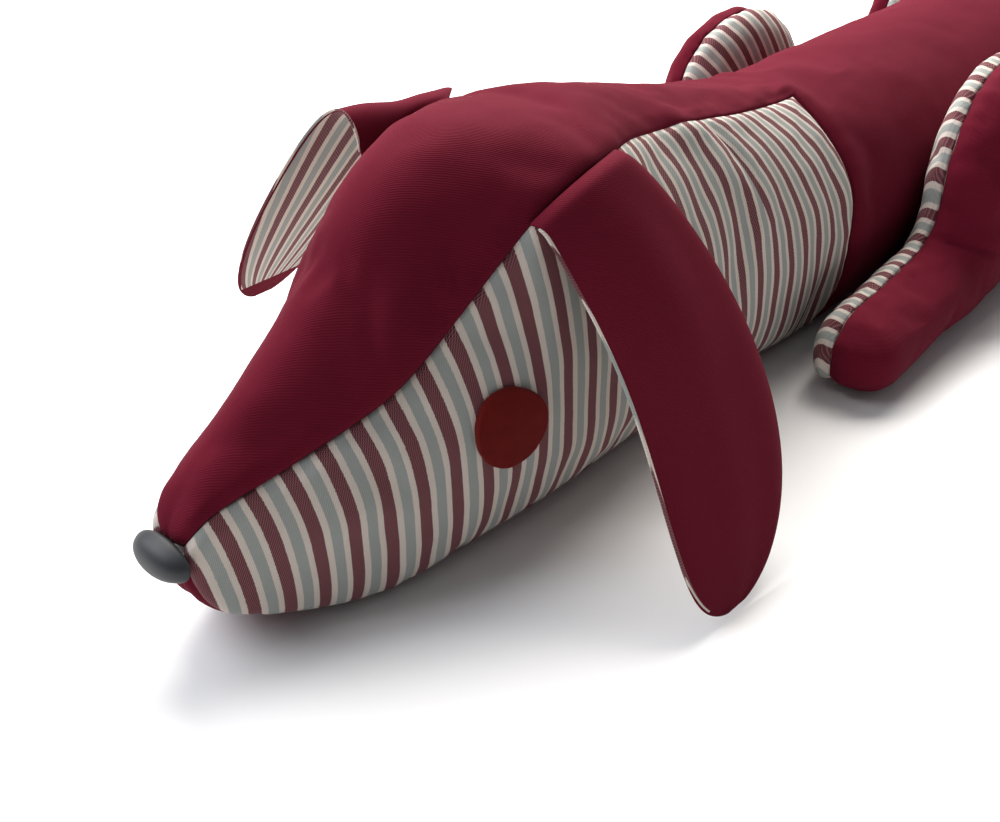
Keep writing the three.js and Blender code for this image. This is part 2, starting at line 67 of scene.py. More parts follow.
camera = bpy.data.objects.new("camera", bpy.data.cameras.new("camera"))
scene.collection.objects.link(camera)
camera.data.sensor_width = SENSOR_WIDTH
camera.data.lens = LENS_PIXELS / PHOTO_WIDTH * SENSOR_WIDTH
camera.data.clip_start = 0.02
turn = Matrix((right, up, -forward)).transposed()
camera.matrix_world = Matrix.Translation(CAMERA_AT) @ turn.to_4x4()
scene.camera = camera
print("camera lens", round(camera.data.lens, 1), "mm")

# %% [markdown]
# ## Light and floor
# Two soft lamps light the dog. The warm one is as large as a window and stands above and
# behind its right side. The cooler and weaker one stands in front on the same side, so the
# near side of the head keeps its shade. A pale floor takes the shadow.

# %% Lights
def soft_light(name, at, aim, size, watts, colour):
    data = bpy.data.lights.new(name, "AREA")
    data.shape = "RECTANGLE"
    data.size, data.size_y = size
    data.energy = watts
    data.color = colour
    lamp = bpy.data.objects.new(name, data)
    lamp.location = at
    lamp.rotation_mode = "QUATERNION"
    lamp.rotation_quaternion = (Vector(aim) - Vector(at)).to_track_quat("-Z", "Y")
    scene.collection.objects.link(lamp)

soft_light("window", at=(0.55, 0.62, 1.20), aim=(-0.15, 0.0, 0.08), size=(1.5, 1.1), watts=57.0,
           colour=(1.0, 0.955, 0.90))
soft_light("fill", at=(-0.95, 0.85, 1.15), aim=(-0.30, 0.0, 0.08), size=(1.1, 1.1), watts=24.0,
           colour=(0.93, 0.95, 1.0))

world = bpy.data.worlds.new("studio")
world.use_nodes = True
background = world.node_tree.nodes["Background"].inputs
background["Color"].default_value = (0.97, 0.97, 1.0, 1.0)
background["Strength"].default_value = 0.18
scene.world = world
scene.view_settings.view_transform = "Standard"
print("lights", [lamp.name for lamp in bpy.data.lights])

# %% The floor sheet
FLOOR_HALF, FLOOR_DROP = 6.0, 0.0004
bm = bmesh.new()
bmesh.ops.create_grid(bm, x_segments=1, y_segments=1, size=FLOOR_HALF)
floor_mesh = bpy.data.meshes.new("floor")
bm.to_mesh(floor_mesh)
bm.free()
floor = bpy.data.objects.new("floor", floor_mesh)
scene.collection.objects.link(floor)
floor.location.z = -FLOOR_DROP
print("floor", 2 * FLOOR_HALF, "m across")

# %% [markdown]
# ## Building materials from small pieces
# Every cloth here is woven, and a weave is only a few waves multiplied together. A small
# helper that adds a node and joins its sockets keeps the recipes short.

# %% Node helpers
class Recipe:
    """A material's node tree, with short ways to add to it."""

    def __init__(self, name):
        self.material = bpy.data.materials.new(name)
        self.material.use_nodes = True
        self.tree = self.material.node_tree
        self.shader = self.tree.nodes["Principled BSDF"]

    def add(self, kind, inputs=(), **settings):
        node = self.tree.nodes.new(kind)
        for key, value in settings.items():
            setattr(node, key, value)
        for key, value in dict(inputs).items():
            if isinstance(value, bpy.types.NodeSocket):
                self.tree.links.new(value, node.inputs[key])
            else:
                node.inputs[key].default_value = value
        return node

    def math(self, operation, *values):
        return self.add("ShaderNodeMath", dict(enumerate(values)), operation=operation).outputs[0]

    def mix(self, share, a, b):
        inputs = {0: share, 6: a, 7: b}
        return self.add("ShaderNodeMix", inputs, data_type="RGBA").outputs[2]

    def noise(self, vector, scale, detail=2.0, roughness=0.5):
        inputs = {"Vector": vector, "Scale": scale, "Detail": detail, "Roughness": roughness}
        return self.add("ShaderNodeTexNoise", inputs).outputs["Fac"]

    def cloth_uv(self):
        uv = self.add("ShaderNodeUVMap", uv_map="cloth").outputs[0]
        parts = self.add("ShaderNodeSeparateXYZ", {0: uv})
        return uv, parts.outputs[0], parts.outputs[1]

    def bump(self, height, strength, distance, below=None):
        inputs = {"Strength": strength, "Distance": distance, "Height": height}
        if below is not None:
            inputs["Normal"] = below
        return self.add("ShaderNodeBump", inputs).outputs[0]

    def shade(self, **values):
        for key, value in values.items():
            socket = self.shader.inputs[key.replace("_", " ")]
            if isinstance(value, bpy.types.NodeSocket):
                self.tree.links.new(value, socket)
            else:
                socket.default_value = value
        return self.material

def colour(red, green, blue):
    """A screen colour of 0 to 255 as linear light."""
    shares = [v / 255.0 for v in (red, green, blue)]
    return (*(v / 12.92 if v <= 10 / 255 else ((v + 0.055) / 1.055) ** 2.4 for v in shares), 1.0)

# %% [markdown]
# ## The two cloths
# Both are twills. The plain one is dyed burgundy and shows fine ribs that run slantwise, a
# little under 1 mm apart. The striped one is a ticking that repeats every 14 mm: burgundy,
# cream, grey-blue and cream. An image could give the weave, but waves stay sharp at any
# distance. They are read from the cloth's own flat coordinates, in metres, so the pattern
# bends and puckers with the panel.

# %% A twill weave
RIB = 0.00086

def twill(recipe, u, v, rib, lean=1.0):
    """Slanting ribs, as a wave from 0 to 1, broken up by the yarns that cross them."""
    slant = recipe.math("ADD", u, recipe.math("MULTIPLY", v, lean))
    rib_turn = 2 * math.pi / rib / math.sqrt(1 + lean * lean)
    wave = recipe.math("SINE", recipe.math("MULTIPLY", slant, rib_turn))
    across = recipe.math("SUBTRACT", u, recipe.math("MULTIPLY", v, lean))
    yarn = recipe.math("SINE", recipe.math("MULTIPLY", across, 2 * math.pi / (rib * 0.62)))
    ribs, yarns = recipe.math("MULTIPLY", wave, 0.40), recipe.math("MULTIPLY", yarn, 0.10)
    return recipe.math("ADD", recipe.math("ADD", ribs, yarns), 0.5)

print("ribs", RIB, "m apart")

# %% Plain burgundy twill
def plain_cloth():
    r = Recipe("burgundy_twill")
    uv, u, v = r.cloth_uv()
    drift = r.noise(uv, 170.0, 3.0, 0.6)
    wobble = r.math("MULTIPLY", r.math("SUBTRACT", drift, 0.5), 0.0011)
    rib = twill(r, r.math("ADD", u, wobble), v, RIB)
    fade = r.noise(uv, 9.0, 4.0, 0.6)
    slub_glint = r.noise(uv, 900.0, 2.0)
    base = r.mix(fade, colour(98, 16, 36), colour(109, 20, 42))
    # Darker between the ribs: painted shade in the weave's grooves.
    tone = r.mix(r.math("MULTIPLY", r.math("SUBTRACT", 1.0, rib), 0.55), base, colour(58, 7, 20))
    # Pale flecks: thick yarns that carry a painted glint.
    tone = r.mix(r.math("MULTIPLY", slub_glint, 0.08), tone, colour(136, 34, 54))
    lumps = r.bump(r.noise(uv, 130.0, 3.0), 0.12, 0.0008)
    ribs = r.bump(rib, 0.60, 0.00018, lumps)
    return r.shade(Base_Color=tone, Roughness=0.9, Normal=ribs, Sheen_Weight=0.03,
                   Sheen_Roughness=0.5, Sheen_Tint=(0.9, 0.3, 0.4, 1.0), Specular_IOR_Level=0.08)

BURGUNDY = plain_cloth()
print("cloth", BURGUNDY.name)

# %% [markdown]
# The stripes come from one colour ramp over a repeat. In the burgundy ones the painted shade
# between the ribs is deeper; pale dots on the rib tops are pale yarn plus a painted highlight.

# %% Striped ticking
STRIPE_REPEAT = 0.014
STRIPE_PHASE = 100 * STRIPE_REPEAT + 0.0004  # whole repeats keep the place above zero
BURGUNDY_SHARE, TICKING_RIB, WEFT = 0.36, 0.0011, 0.0007

def stripe_ramp(recipe, share):
    """The colour at one place of the repeat, which runs from 0 to 1."""
    ramp = recipe.add("ShaderNodeValToRGB", {"Fac": share})
    ramp.color_ramp.interpolation = "LINEAR"
    edges = ramp.color_ramp.elements
    burgundy, cream, grey = colour(106, 15, 32), colour(210, 199, 188), colour(150, 156, 152)
    stops = [(0.0, cream), (0.012, burgundy), (0.35, burgundy), (0.368, cream), (0.53, cream),
             (0.55, grey), (0.83, grey), (0.85, cream)]
    while len(edges) < len(stops):
        edges.new(0.5)
    for edge, (position, tint) in zip(edges, stops):
        edge.position = position
        edge.color = tint
    return ramp.outputs[0]

def striped_cloth():
    r = Recipe("striped_ticking")
    uv, u, v = r.cloth_uv()
    drift = r.noise(uv, 45.0, 3.0)
    wobble = r.math("MULTIPLY", r.math("SUBTRACT", drift, 0.5), 0.0009)
    fuzz = r.math("MULTIPLY", r.math("SUBTRACT", r.noise(uv, 1400.0, 1.0), 0.5), 0.0006)
    place = r.math("ADD", r.math("ADD", u, wobble), fuzz)
    share = r.math("FRACT", r.math("DIVIDE", r.math("ADD", place, STRIPE_PHASE), STRIPE_REPEAT))
    stripes = stripe_ramp(r, share)
    rib = twill(r, u, v, TICKING_RIB, lean=-1.0)
    dark = r.math("LESS_THAN", share, BURGUNDY_SHARE)
    depth = r.math("ADD", r.math("MULTIPLY", dark, 0.50), 0.14)
    between = r.math("MULTIPLY", r.math("SUBTRACT", 1.0, rib), depth)
    shadow = r.mix(between, stripes, colour(50, 14, 24))
    weft = r.math("SINE", r.math("MULTIPLY", v, 2 * math.pi / WEFT))
    lift = r.math("MULTIPLY", r.math("ADD", weft, 1.0), 0.05)
    # Pale dots on the burgundy rib tops: pale yarn with a painted highlight.
    glint = r.math("MULTIPLY", r.math("MULTIPLY", dark, 0.18), r.math("POWER", rib, 6.0))
    tone = r.mix(r.math("ADD", lift, glint), shadow, colour(232, 222, 222))
    lumps = r.bump(r.noise(uv, 120.0, 3.0), 0.12, 0.0008)
    ribs = r.bump(rib, 0.45, 0.00018, lumps)
    return r.shade(Base_Color=tone, Roughness=0.84, Normal=ribs, Sheen_Weight=0.05,
                   Sheen_Roughness=0.5, Specular_IOR_Level=0.15)

TICKING = striped_cloth()
print("cloth", TICKING.name)

# %% [markdown]
# ## Felt, moulded plastic and floor
# The eyes are thick wool felt, matted and hairy. The nose is a satin dark grey moulding with
# faint sink marks. The floor is a plain pale sheet.

# %% Felt, plastic and floor
def felt():
    r = Recipe("red_felt")
    place = r.add("ShaderNodeTexCoord").outputs["Object"]
    hairs = r.noise(place, 2600.0, 4.0, 0.7)
    mat = r.noise(place, 320.0, 4.0, 0.65)
    tone = r.mix(mat, colour(82, 10, 9), colour(104, 18, 15))
    tone = r.mix(r.math("MULTIPLY", hairs, 0.30), tone, colour(124, 38, 32))
    nap = r.bump(hairs, 0.6, 0.0003, r.bump(mat, 0.5, 0.0006))
    return r.shade(Base_Color=tone, Roughness=0.95, Normal=nap, Sheen_Weight=0.12,
                   Sheen_Roughness=0.4, Sheen_Tint=(0.9, 0.45, 0.42, 1.0), Specular_IOR_Level=0.15)

def moulding():
    r = Recipe("grey_moulding")
    place = r.add("ShaderNodeTexCoord").outputs["Object"]
    cloud = r.noise(place, 160.0, 3.0)
    grain = r.noise(place, 3200.0, 2.0)
    tone = r.mix(cloud, colour(34, 36, 40), colour(47, 50, 55))
    rough = r.add("ShaderNodeMapRange", {"Value": cloud, "To Min": 0.46, "To Max": 0.60}).outputs[0]
    return r.shade(Base_Color=tone, Roughness=rough, Normal=r.bump(grain, 0.12, 0.00008),
                   Specular_IOR_Level=0.45)

def pale_floor():
    r = Recipe("pale_floor")
    place = r.add("ShaderNodeTexCoord").outputs["Object"]
    tone = r.mix(r.noise(place, 3.0), (0.86, 0.86, 0.86, 1), (0.90, 0.90, 0.90, 1))
    return r.shade(Base_Color=tone, Roughness=0.9, Specular_IOR_Level=0.1)

FELT = felt()
MOULDING = moulding()
floor.data.materials.append(pale_floor())
print("finishes", FELT.name, MOULDING.name)

# %% [markdown]
# ## The shape under the cloth
# The body is described by cross sections: how wide it is, where the seams run and how high
# its back is. These are the same numbers as the solid model's, in millimetres, read with a
# smooth curve between them.

# %% Cross sections
NOSE_STATION, HALF_LENGTH = 5.0, 450.0
SHIFT = -(NOSE_STATION + HALF_LENGTH)  # from a station along the dog to x
RUMP, RUMP_ROUNDING, RUMP_MIDDLE, RUMP_CURVE = 831.0, 74.0, 62.0, 2.4
RING, RING_AHEAD, RING_BOW, RING_SWEEP = 388.0, 3.0, 8.0, 22.0
TOP, BELT, BELLY = 0.25, 0.58, 0.814
TOP_FULLNESS, UNDER_ROUND, UNDER_PRESS = 2.4, 3.6, 6.0
SECTIONS = np.array([
    # station width belt seam_out seam_up crown floor
    (15.6, 8.5, 43, 7, 49.5, 51, 37.5), (17, 12.5, 41, 10.5, 54, 56.5, 29),
    (20, 16, 39.5, 13.5, 57.8, 63, 21.5), (28, 20, 38, 15.5, 62, 72, 14),
    (42, 27, 38, 19, 66, 83, 8), (56, 34.5, 40, 23, 70, 94, 4),
    (70, 41, 42, 27, 74.5, 104, 1.2), (84, 46, 45, 31, 79, 115, 0),
    (98, 50, 49, 35, 84.5, 128, 0), (111, 53, 53, 38, 92, 143, 0),
    (126, 55.5, 58, 40.5, 103, 156, 0), (141, 57.6, 63, 43, 115, 163.5, 0),
    (154, 59.4, 66, 45.5, 126, 167, 0), (166, 60.8, 68, 48.5, 136.5, 168.5, 0),
    (190, 62, 70, 51, 146.5, 168, 0), (216, 61, 70, 47.5, 149.5, 165, 0),
    (240, 59.4, 68, 37, 146, 161, 0), (264, 59, 66, 30, 141, 155, 0),
    (300, 61, 65, 29, 136.5, 145, 0), (338, 63, 64, 28.5, 130, 136, 0),
    (372, 63.8, 64, 25.5, 125, 131, 0), (400, 64, 63, 24, 122.5, 129, 0),
])

def section(station):
    """Width, belt, seam out, seam up, crown and floor at one station."""
    if station >= SECTIONS[-1, 0]:
        return SECTIONS[-1, 1:]
    last = len(SECTIONS) - 1
    i = int(np.clip(np.searchsorted(SECTIONS[:, 0], station, "right") - 1, 0, last - 1))
    a, b, c, d = (SECTIONS[k] for k in (max(i - 1, 0), i, i + 1, min(i + 2, last)))
    span = c[0] - b[0]
    t = (station - b[0]) / span
    m0 = (c[1:] - a[1:]) / (c[0] - a[0]) * span
    m1 = (d[1:] - b[1:]) / (d[0] - b[0]) * span
    found = ((2 * t**3 - 3 * t**2 + 1) * b[1:] + (t**3 - 2 * t**2 + t) * m0
             + (3 * t**2 - 2 * t**3) * c[1:] + (t**3 - t**2) * m1)
    found[5] = max(found[5], 0.0)
    return found

print(len(SECTIONS), "sections, the widest", 2 * max(SECTIONS[:, 1]), "mm across")

# %% Points of the outer cloth
def skin(station, around):
    """A point of the cloth, in millimetres: around is 0 on the back and 1 under the belly."""
    width, belt, seam_out, seam_up, crown, low = section(station)
    side, a = (1 if around >= 0 else -1), abs(around)
    if a <= TOP:
        v = a / TOP
        y, z = seam_out * v, seam_up + (crown - seam_up) * (1 - v**TOP_FULLNESS)
    elif a <= BELT:
        v = (a - TOP) / (BELT - TOP)
        y, z = width - (width - seam_out) * (1 - v) ** 2, seam_up + (belt - seam_up) * v
    else:
        angle = (a - BELT) / (1 - BELT) * math.pi / 2
        y = width * max(math.cos(angle), 0.0) ** (2 / UNDER_ROUND)
        z = max(belt - (belt - low + UNDER_PRESS) * math.sin(angle) ** (2 / UNDER_ROUND), low)
    t = max(0.0, (station - RUMP + RUMP_ROUNDING) / RUMP_ROUNDING)
    room = math.sqrt(max(0.0, 1 - t**RUMP_CURVE))
    return Vector((station + SHIFT, y * side * room, RUMP_MIDDLE + (z - RUMP_MIDDLE) * room))

def ring_at(around):
    """The station of the ring seam behind the neck, which bows back and then runs forward."""
    low = max(0.0, (abs(around) - TOP) / (1 - TOP))
    bow = RING_BOW * math.sin(math.pi * min(low * 1.3, 1))
    return RING - RING_AHEAD + bow - RING_SWEEP * low * low

print("ring seam from", ring_at(0), "to", ring_at(1), "mm")

# %% [markdown]
# ## A fine grid over the whole body
# One grid of cloth covers the body from muzzle to rump. Its rows run round the dog and end
# exactly at the ring seam, and its columns run along the dog and meet the long seams, so
# every seam is a line of the grid.

# %% Rows and columns
HEAD_ROWS, TUBE_ROWS, RUMP_ROWS = 86, 64, 16
TOP_COLUMNS, SIDE_COLUMNS, BELLY_COLUMNS = 11, 26, 10
FIRST = SECTIONS[0, 0]
MUZZLE_DENSITY = 1.25
SPACING_STATION, SPACING_TRIES = 250, 500
DART_ROW, DART_ROWS, DART_LEAN = 70, 16, 11.0

def evenly(low, high, steps):
    """Values of around from one seam to the next, evenly spaced along the cloth."""
    tries = np.linspace(low, high, SPACING_TRIES)
    places = np.array([skin(SPACING_STATION, a) for a in tries])
    run = np.concatenate([[0], np.cumsum(np.linalg.norm(np.diff(places, axis=0), axis=1))])
    return list(np.interp(np.linspace(0, run[-1], steps + 1), run, tries))

half_round = (evenly(0, TOP, TOP_COLUMNS) + evenly(TOP, BELLY, SIDE_COLUMNS)[1:]
              + evenly(BELLY, 1, BELLY_COLUMNS)[1:])
columns = [-a for a in half_round[:0:-1]] + half_round
total_rows = HEAD_ROWS + TUBE_ROWS + RUMP_ROWS
TUBE_END = RUMP - RUMP_ROUNDING

def row_station(row, around):
    """The station of one grid row where it crosses one column."""
    if row <= HEAD_ROWS:
        near_dart = math.cos(math.pi / 2 * np.clip((row - DART_ROW) / DART_ROWS, -1, 1)) ** 2
        down_the_side = max(0.0, abs(around) - TOP)
        lean = DART_LEAN * (1 - math.exp(-down_the_side / 0.1)) * near_dart
        return FIRST + (ring_at(around) - FIRST) * (row / HEAD_ROWS) ** MUZZLE_DENSITY + lean
    if row <= HEAD_ROWS + TUBE_ROWS:
        share = (row - HEAD_ROWS) / TUBE_ROWS
        return ring_at(around) + (TUBE_END - ring_at(around)) * share
    share = (row - HEAD_ROWS - TUBE_ROWS) / RUMP_ROWS
    return TUBE_END + RUMP_ROUNDING * math.sin(share * math.pi / 2)

print("grid", total_rows + 1, "rows of", len(columns), "points")

# %% [markdown]
# The panels are told apart by row and column. Behind the ring seam everything is burgundy.

# %% Measure the grid and name its panels
stations = np.array([[row_station(i, a) for a in columns] for i in range(total_rows + 1)])
places = np.array([[skin(s, a) for s, a in zip(line, columns)] for line in stations])
steps_round = np.linalg.norm(np.diff(places, axis=1), axis=2)
round_run = np.concatenate([np.zeros((total_rows + 1, 1)), np.cumsum(steps_round, axis=1)], axis=1)
middle = len(half_round) - 1
round_run = round_run - round_run[:, middle:middle + 1]
top_left, top_right = middle - TOP_COLUMNS, middle + TOP_COLUMNS
belly_left, belly_right = BELLY_COLUMNS, len(columns) - 1 - BELLY_COLUMNS

def panel_of(row, column):
    """Which panel the face after this row and column belongs to."""
    if row >= HEAD_ROWS or top_left <= column < top_right:
        return 0
    if column < belly_left or column >= belly_right:
        return 3
    return 1 if column < middle else 2

crown_steps = np.linalg.norm(np.diff(places[:, middle], axis=0), axis=1)
crown_run = np.concatenate([[0], np.cumsum(crown_steps)])
print("back line", round(crown_run[-1]), "mm long")

# %% [markdown]
# A dart behind each ear takes up about 15 mm of the striped cloth at the top seam and nothing
# 60 mm below it, so the neck stripes lean forward, and more so behind the dart. The neck's
# cloth is also eased in by 17 %, which brings its stripes closer than those of the cheek.

# %% Flat cloth coordinates
DART_DEPTH, DART_LENGTH, DART_TAPER = 15.0, 62.0, 1.2
STRIPE_START = 25.8
LEAN, LEAN_FROM, LEAN_OVER = 9.0, 28.0, 42.0
NECK_LEAN, NECK_FROM, NECK_OVER, NECK_FALL = 11.0, 215.0, 47.0, 20.0
NECK_EASE = 0.17

def below_seam(row, column):
    """How far down the side a point lies from the top seam, in millimetres of cloth."""
    edge = top_left if column < middle else top_right
    return max(0.0, abs(round_run[row, column]) - abs(round_run[row, edge]))

def stripe_coordinate(row, column, behind_dart):
    """Where a point lies across the stripes, in millimetres."""
    station = stations[row, column]
    seam = places[row, top_left if column < middle else top_right]
    fall = 1 - np.clip(places[row, column][2] / seam[2], 0, 1)
    place = station - LEAN * np.clip(1 - (station - LEAN_FROM) / LEAN_OVER, 0, 1) * fall
    below = below_seam(row, column)
    neck = np.clip((station - NECK_FROM) / NECK_OVER, 0, 1)
    place -= NECK_LEAN * neck * neck * (3 - 2 * neck) * (1 - math.exp(-below / NECK_FALL))
    place += NECK_EASE * max(0.0, station - NECK_FROM - NECK_OVER / 2)
    if behind_dart:
        place += DART_DEPTH * max(0.0, 1 - below / DART_LENGTH) ** DART_TAPER
    return place - STRIPE_START

print("dart at row", DART_ROW, "station", round(stations[DART_ROW, top_left], 1))

# %% [markdown]
# The grid is laid over the body, seams are sunk a little, and each face remembers its panel
# and its cloth coordinates, so they survive the simulation.

# %% A sheet of quads
def grid_sheet(rows, cols, place):
    """A grid of quads whose points are put where place(row, column) says, in millimetres."""
    mesh = bmesh.new()
    bmesh.ops.create_grid(mesh, x_segments=rows, y_segments=cols, size=1.0)
    for v in mesh.verts:
        row = round((v.co.x + 1) / 2 * rows)
        column = round((v.co.y + 1) / 2 * cols)
        v.co = Vector(place(row, column)) * MM
        v.index = row * (cols + 1) + column
    mesh.verts.sort()
    return mesh

column_count = len(columns)
bm = grid_sheet(total_rows, column_count - 1, lambda i, j: places[i, j])
bm.normal_update()
bm.verts.ensure_lookup_table()
normals = np.array([v.normal for v in bm.verts]).reshape(places.shape)
if normals[40, middle][2] < 0:
    bmesh.ops.reverse_faces(bm, faces=bm.faces)
    normals = -normals
print("sheet", len(bm.faces), "faces")

# %% Find the nearest seam of each point
BLOCK = 2000

def seams_at(row, column):
    """The seams that run through a grid point: a name and the running length along it."""
    found = []
    if row <= HEAD_ROWS and column in (top_left, top_right):
        found.append(("top", stations[row, column]))
    if row <= HEAD_ROWS and column in (belly_left, belly_right):
        found.append(("belly", stations[row, column]))
    if row == HEAD_ROWS and not top_left < column < top_right:
        found.append(("ring", round_run[row, column]))
    on_side = abs(column - middle) > TOP_COLUMNS
    if row == DART_ROW and on_side and below_seam(row, column) < DART_LENGTH:
        found.append(("dart", round_run[row, column]))
    return found

seam_points, seam_along, seam_kind = [], [], []
for i in range(total_rows + 1):
    for j in range(column_count):
        for kind, along in seams_at(i, j):
            seam_points.append(places[i, j])
            seam_along.append(along)
            seam_kind.append(kind)
seam_points = np.array(seam_points)
flat_places = places.reshape(-1, 3)
nearest = np.zeros(len(flat_places), int)
seam_distance = np.zeros(len(flat_places))
for start in range(0, len(flat_places), BLOCK):
    block = slice(start, start + BLOCK)
    gaps = np.linalg.norm(flat_places[block][:, None] - seam_points[None], axis=2)
    nearest[block] = gaps.argmin(axis=1)
    seam_distance[block] = gaps.min(axis=1)
print("seam points", len(seam_points))

# %% [markdown]
# Each seam lies in a small groove. The dart's groove is the deepest at the top seam and ends
# with the dart. Just ahead of the dart the cloth stands up a little beside the long seams.

# %% Sink the seams
SEAM_SINK, SINK_REACH, DART_SINK = 2.6, 3.5, 1.7
HUMP_HEIGHT, HUMP_STATION, HUMP_LENGTH, HUMP_REACH = 2.2, 286, 9, 13
panel_layer = bm.faces.layers.int.new("panel")
uv_layer = bm.loops.layers.uv.new("cloth")
away_layer = bm.verts.layers.float.new("seam_away")
along_layer = bm.verts.layers.float.new("seam_along")

def hump_at(k):
    """How far the cloth stands up at one point, in millimetres."""
    behind = (flat_places[k][0] - SHIFT - HUMP_STATION) / HUMP_LENGTH
    return HUMP_HEIGHT * math.exp(-behind ** 2 - (seam_distance[k] / HUMP_REACH) ** 2)

for v in bm.verts:
    k = v.index
    sink = SEAM_SINK * math.exp(-(seam_distance[k] / SINK_REACH) ** 2)
    dart_share = 1.0
    if seam_kind[nearest[k]] == "dart":
        i, j = divmod(k, column_count)
        dart_share = DART_SINK * max(0.0, 1 - below_seam(i, j) / DART_LENGTH)
    v.co -= Vector(normals.reshape(-1, 3)[k]) * (sink * dart_share - hump_at(k)) * MM
    v[away_layer] = seam_distance[k]
    v[along_layer] = seam_along[nearest[k]]
print("seams sunk", SEAM_SINK, "mm")

# %% Name the faces and store the cloth coordinates
WELD = 0.00002
for face in bm.faces:
    grid = [divmod(v.index, column_count) for v in face.verts]
    row, column = min(g[0] for g in grid), min(g[1] for g in grid)
    face[panel_layer] = panel_of(row, column)
    face.smooth = True
    for loop, (i, j) in zip(face.loops, grid):
        if face[panel_layer] in (1, 2):
            u = stripe_coordinate(i, j, row >= DART_ROW)
        else:
            u = crown_run[i]
        loop[uv_layer].uv = (u * MM, round_run[i, j] * MM)
bmesh.ops.remove_doubles(bm, verts=bm.verts, dist=WELD)
body_mesh = bpy.data.meshes.new("stuffed_body")
bm.to_mesh(body_mesh)
bm.free()
body_form = bpy.data.objects.new("stuffed_body", body_mesh)
scene.collection.objects.link(body_form)
print("body grid", len(body_mesh.vertices), "points", len(body_mesh.polygons), "faces")

# %% [markdown]
# ## Stuffing the body
# Blender's cloth gives the body its fullness: the panels are cut a little large, the filling
# pushes outwards, and the seams are held. The cloth then swells and buckles between them as
# sewn cloth does. Displacing the panels by a noise would be quicker, but it knows nothing of
# the seams. No point may move more than a few millimetres, so the size stays true.

# %% Cloth simulation
SIM_FRAMES = 20

def stuff(form, held, pressure, cap, growth, floor_at=0.0003):
    """Swells a closed cloth form between the points that are held, and keeps the result."""
    start = np.array([v.co for v in form.data.vertices])
    group = form.vertex_groups.new(name="held")
    for index, weight in held:
        group.add([index], weight, "REPLACE")
    modifier = form.modifiers.new("cloth", "CLOTH")
    cloth = modifier.settings
    cloth.quality = 6
    cloth.mass = 0.25
    cloth.tension_stiffness = cloth.compression_stiffness = 22
    cloth.shear_stiffness = 8
    cloth.bending_stiffness = 0.35
    cloth.use_pressure = True
    cloth.uniform_pressure_force = pressure
    cloth.vertex_group_mass = "held"
    cloth.shrink_min = cloth.shrink_max = -growth
    cloth.effector_weights.gravity = 0.0
    modifier.point_cache.frame_start, modifier.point_cache.frame_end = 1, SIM_FRAMES
    for number in range(1, SIM_FRAMES + 1):
        scene.frame_set(number)
    swollen = form.evaluated_get(bpy.context.evaluated_depsgraph_get())
    end = np.array([v.co for v in swollen.data.vertices])
    form.modifiers.remove(modifier)
    scene.frame_set(1)
    move = end - start
    length = np.maximum(np.linalg.norm(move, axis=1, keepdims=True), 1e-9)
    move *= cap * np.tanh(length / cap) / length  # long moves are brought down to the cap
    end = start + move
    end[:, 2] = np.maximum(end[:, 2], floor_at)
    form.data.vertices.foreach_set("co", end.ravel())
    form.data.update()
    moved = np.linalg.norm(move, axis=1) / MM
    print(form.name, "moved up to", round(float(moved.max()), 1), "mm, mean",
          round(float(moved.mean()), 2), "mm")

def held_at_seams(form, reach):
    away = form.data.attributes["seam_away"].data
    return [(k, 1.0) for k, a in enumerate(away) if a.value < reach]

# %% [markdown]
# The panels start a little drawn in, so that they swell back to their size. The narrow muzzle
# would dent under the pressure, so it is partly held, more towards the nose.

# %% Swell the body
START_DEPTH, START_REACH = 0.0022, 12
MUZZLE_END, MUZZLE_FADE, MUZZLE_HOLD = (95 + SHIFT) * MM, 0.03, 0.55
inwards = np.array([v.normal for v in body_form.data.vertices])
at = np.array([v.co for v in body_form.data.vertices])
away = np.array([a.value for a in body_form.data.attributes["seam_away"].data])
at -= inwards * START_DEPTH * (1 - np.exp(-(away / START_REACH) ** 2))[:, None]
body_form.data.vertices.foreach_set("co", at.ravel())
body_form.data.update()
rear = [(k, 1.0) for k, c in enumerate(at) if c[0] > (RUMP + SHIFT - 2) * MM]
muzzle = [(k, MUZZLE_HOLD * min(1.0, (MUZZLE_END - c[0]) / MUZZLE_FADE))
          for k, c in enumerate(at) if c[0] < MUZZLE_END]
stuff(body_form, muzzle + held_at_seams(body_form, 1.0) + rear, pressure=4.0, cap=0.005,
      growth=0.010)
print("body form", [round(v, 3) for v in body_form.dimensions])

# %% [markdown]
# ## From the swollen form to separate panels
# The form is refined once and cut along its seams into the real panels. Each panel is then
# given the thickness of its cloth, inwards. That keeps the grid's lines on the seams, which
# a boolean cut would not.

# %% Panel tools
CLOTH = 0.0013
SEAM_TUCK = 0.0006

def refined(form):
    """The form's mesh after one level of subdivision."""
    modifier = form.modifiers.new("refine", "SUBSURF")
    modifier.levels = modifier.render_levels = 1
    modifier.boundary_smooth = "PRESERVE_CORNERS"
    depsgraph = bpy.context.evaluated_depsgraph_get()
    mesh = bpy.data.meshes.new_from_object(form.evaluated_get(depsgraph), depsgraph=depsgraph)
    form.modifiers.remove(modifier)
    return mesh

def new_piece(name, mesh, material, stands_for):
    """Makes one finished piece of the dog, under the body's root, and hides what it stands for."""
    piece = bpy.data.objects.new(name, mesh)
    scene.collection.objects.link(piece)
    mesh.materials.clear()
    mesh.materials.append(material)
    for face in mesh.polygons:
        face.use_smooth = True
    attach(piece, "root")
    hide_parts(*stands_for)
    return piece

def thicken(piece, thickness):
    """Gives a panel the thickness of its cloth, inwards."""
    wall = piece.modifiers.new("cloth_thickness", "SOLIDIFY")
    wall.thickness = thickness
    wall.offset = -1.0
    wall.use_even_offset = False

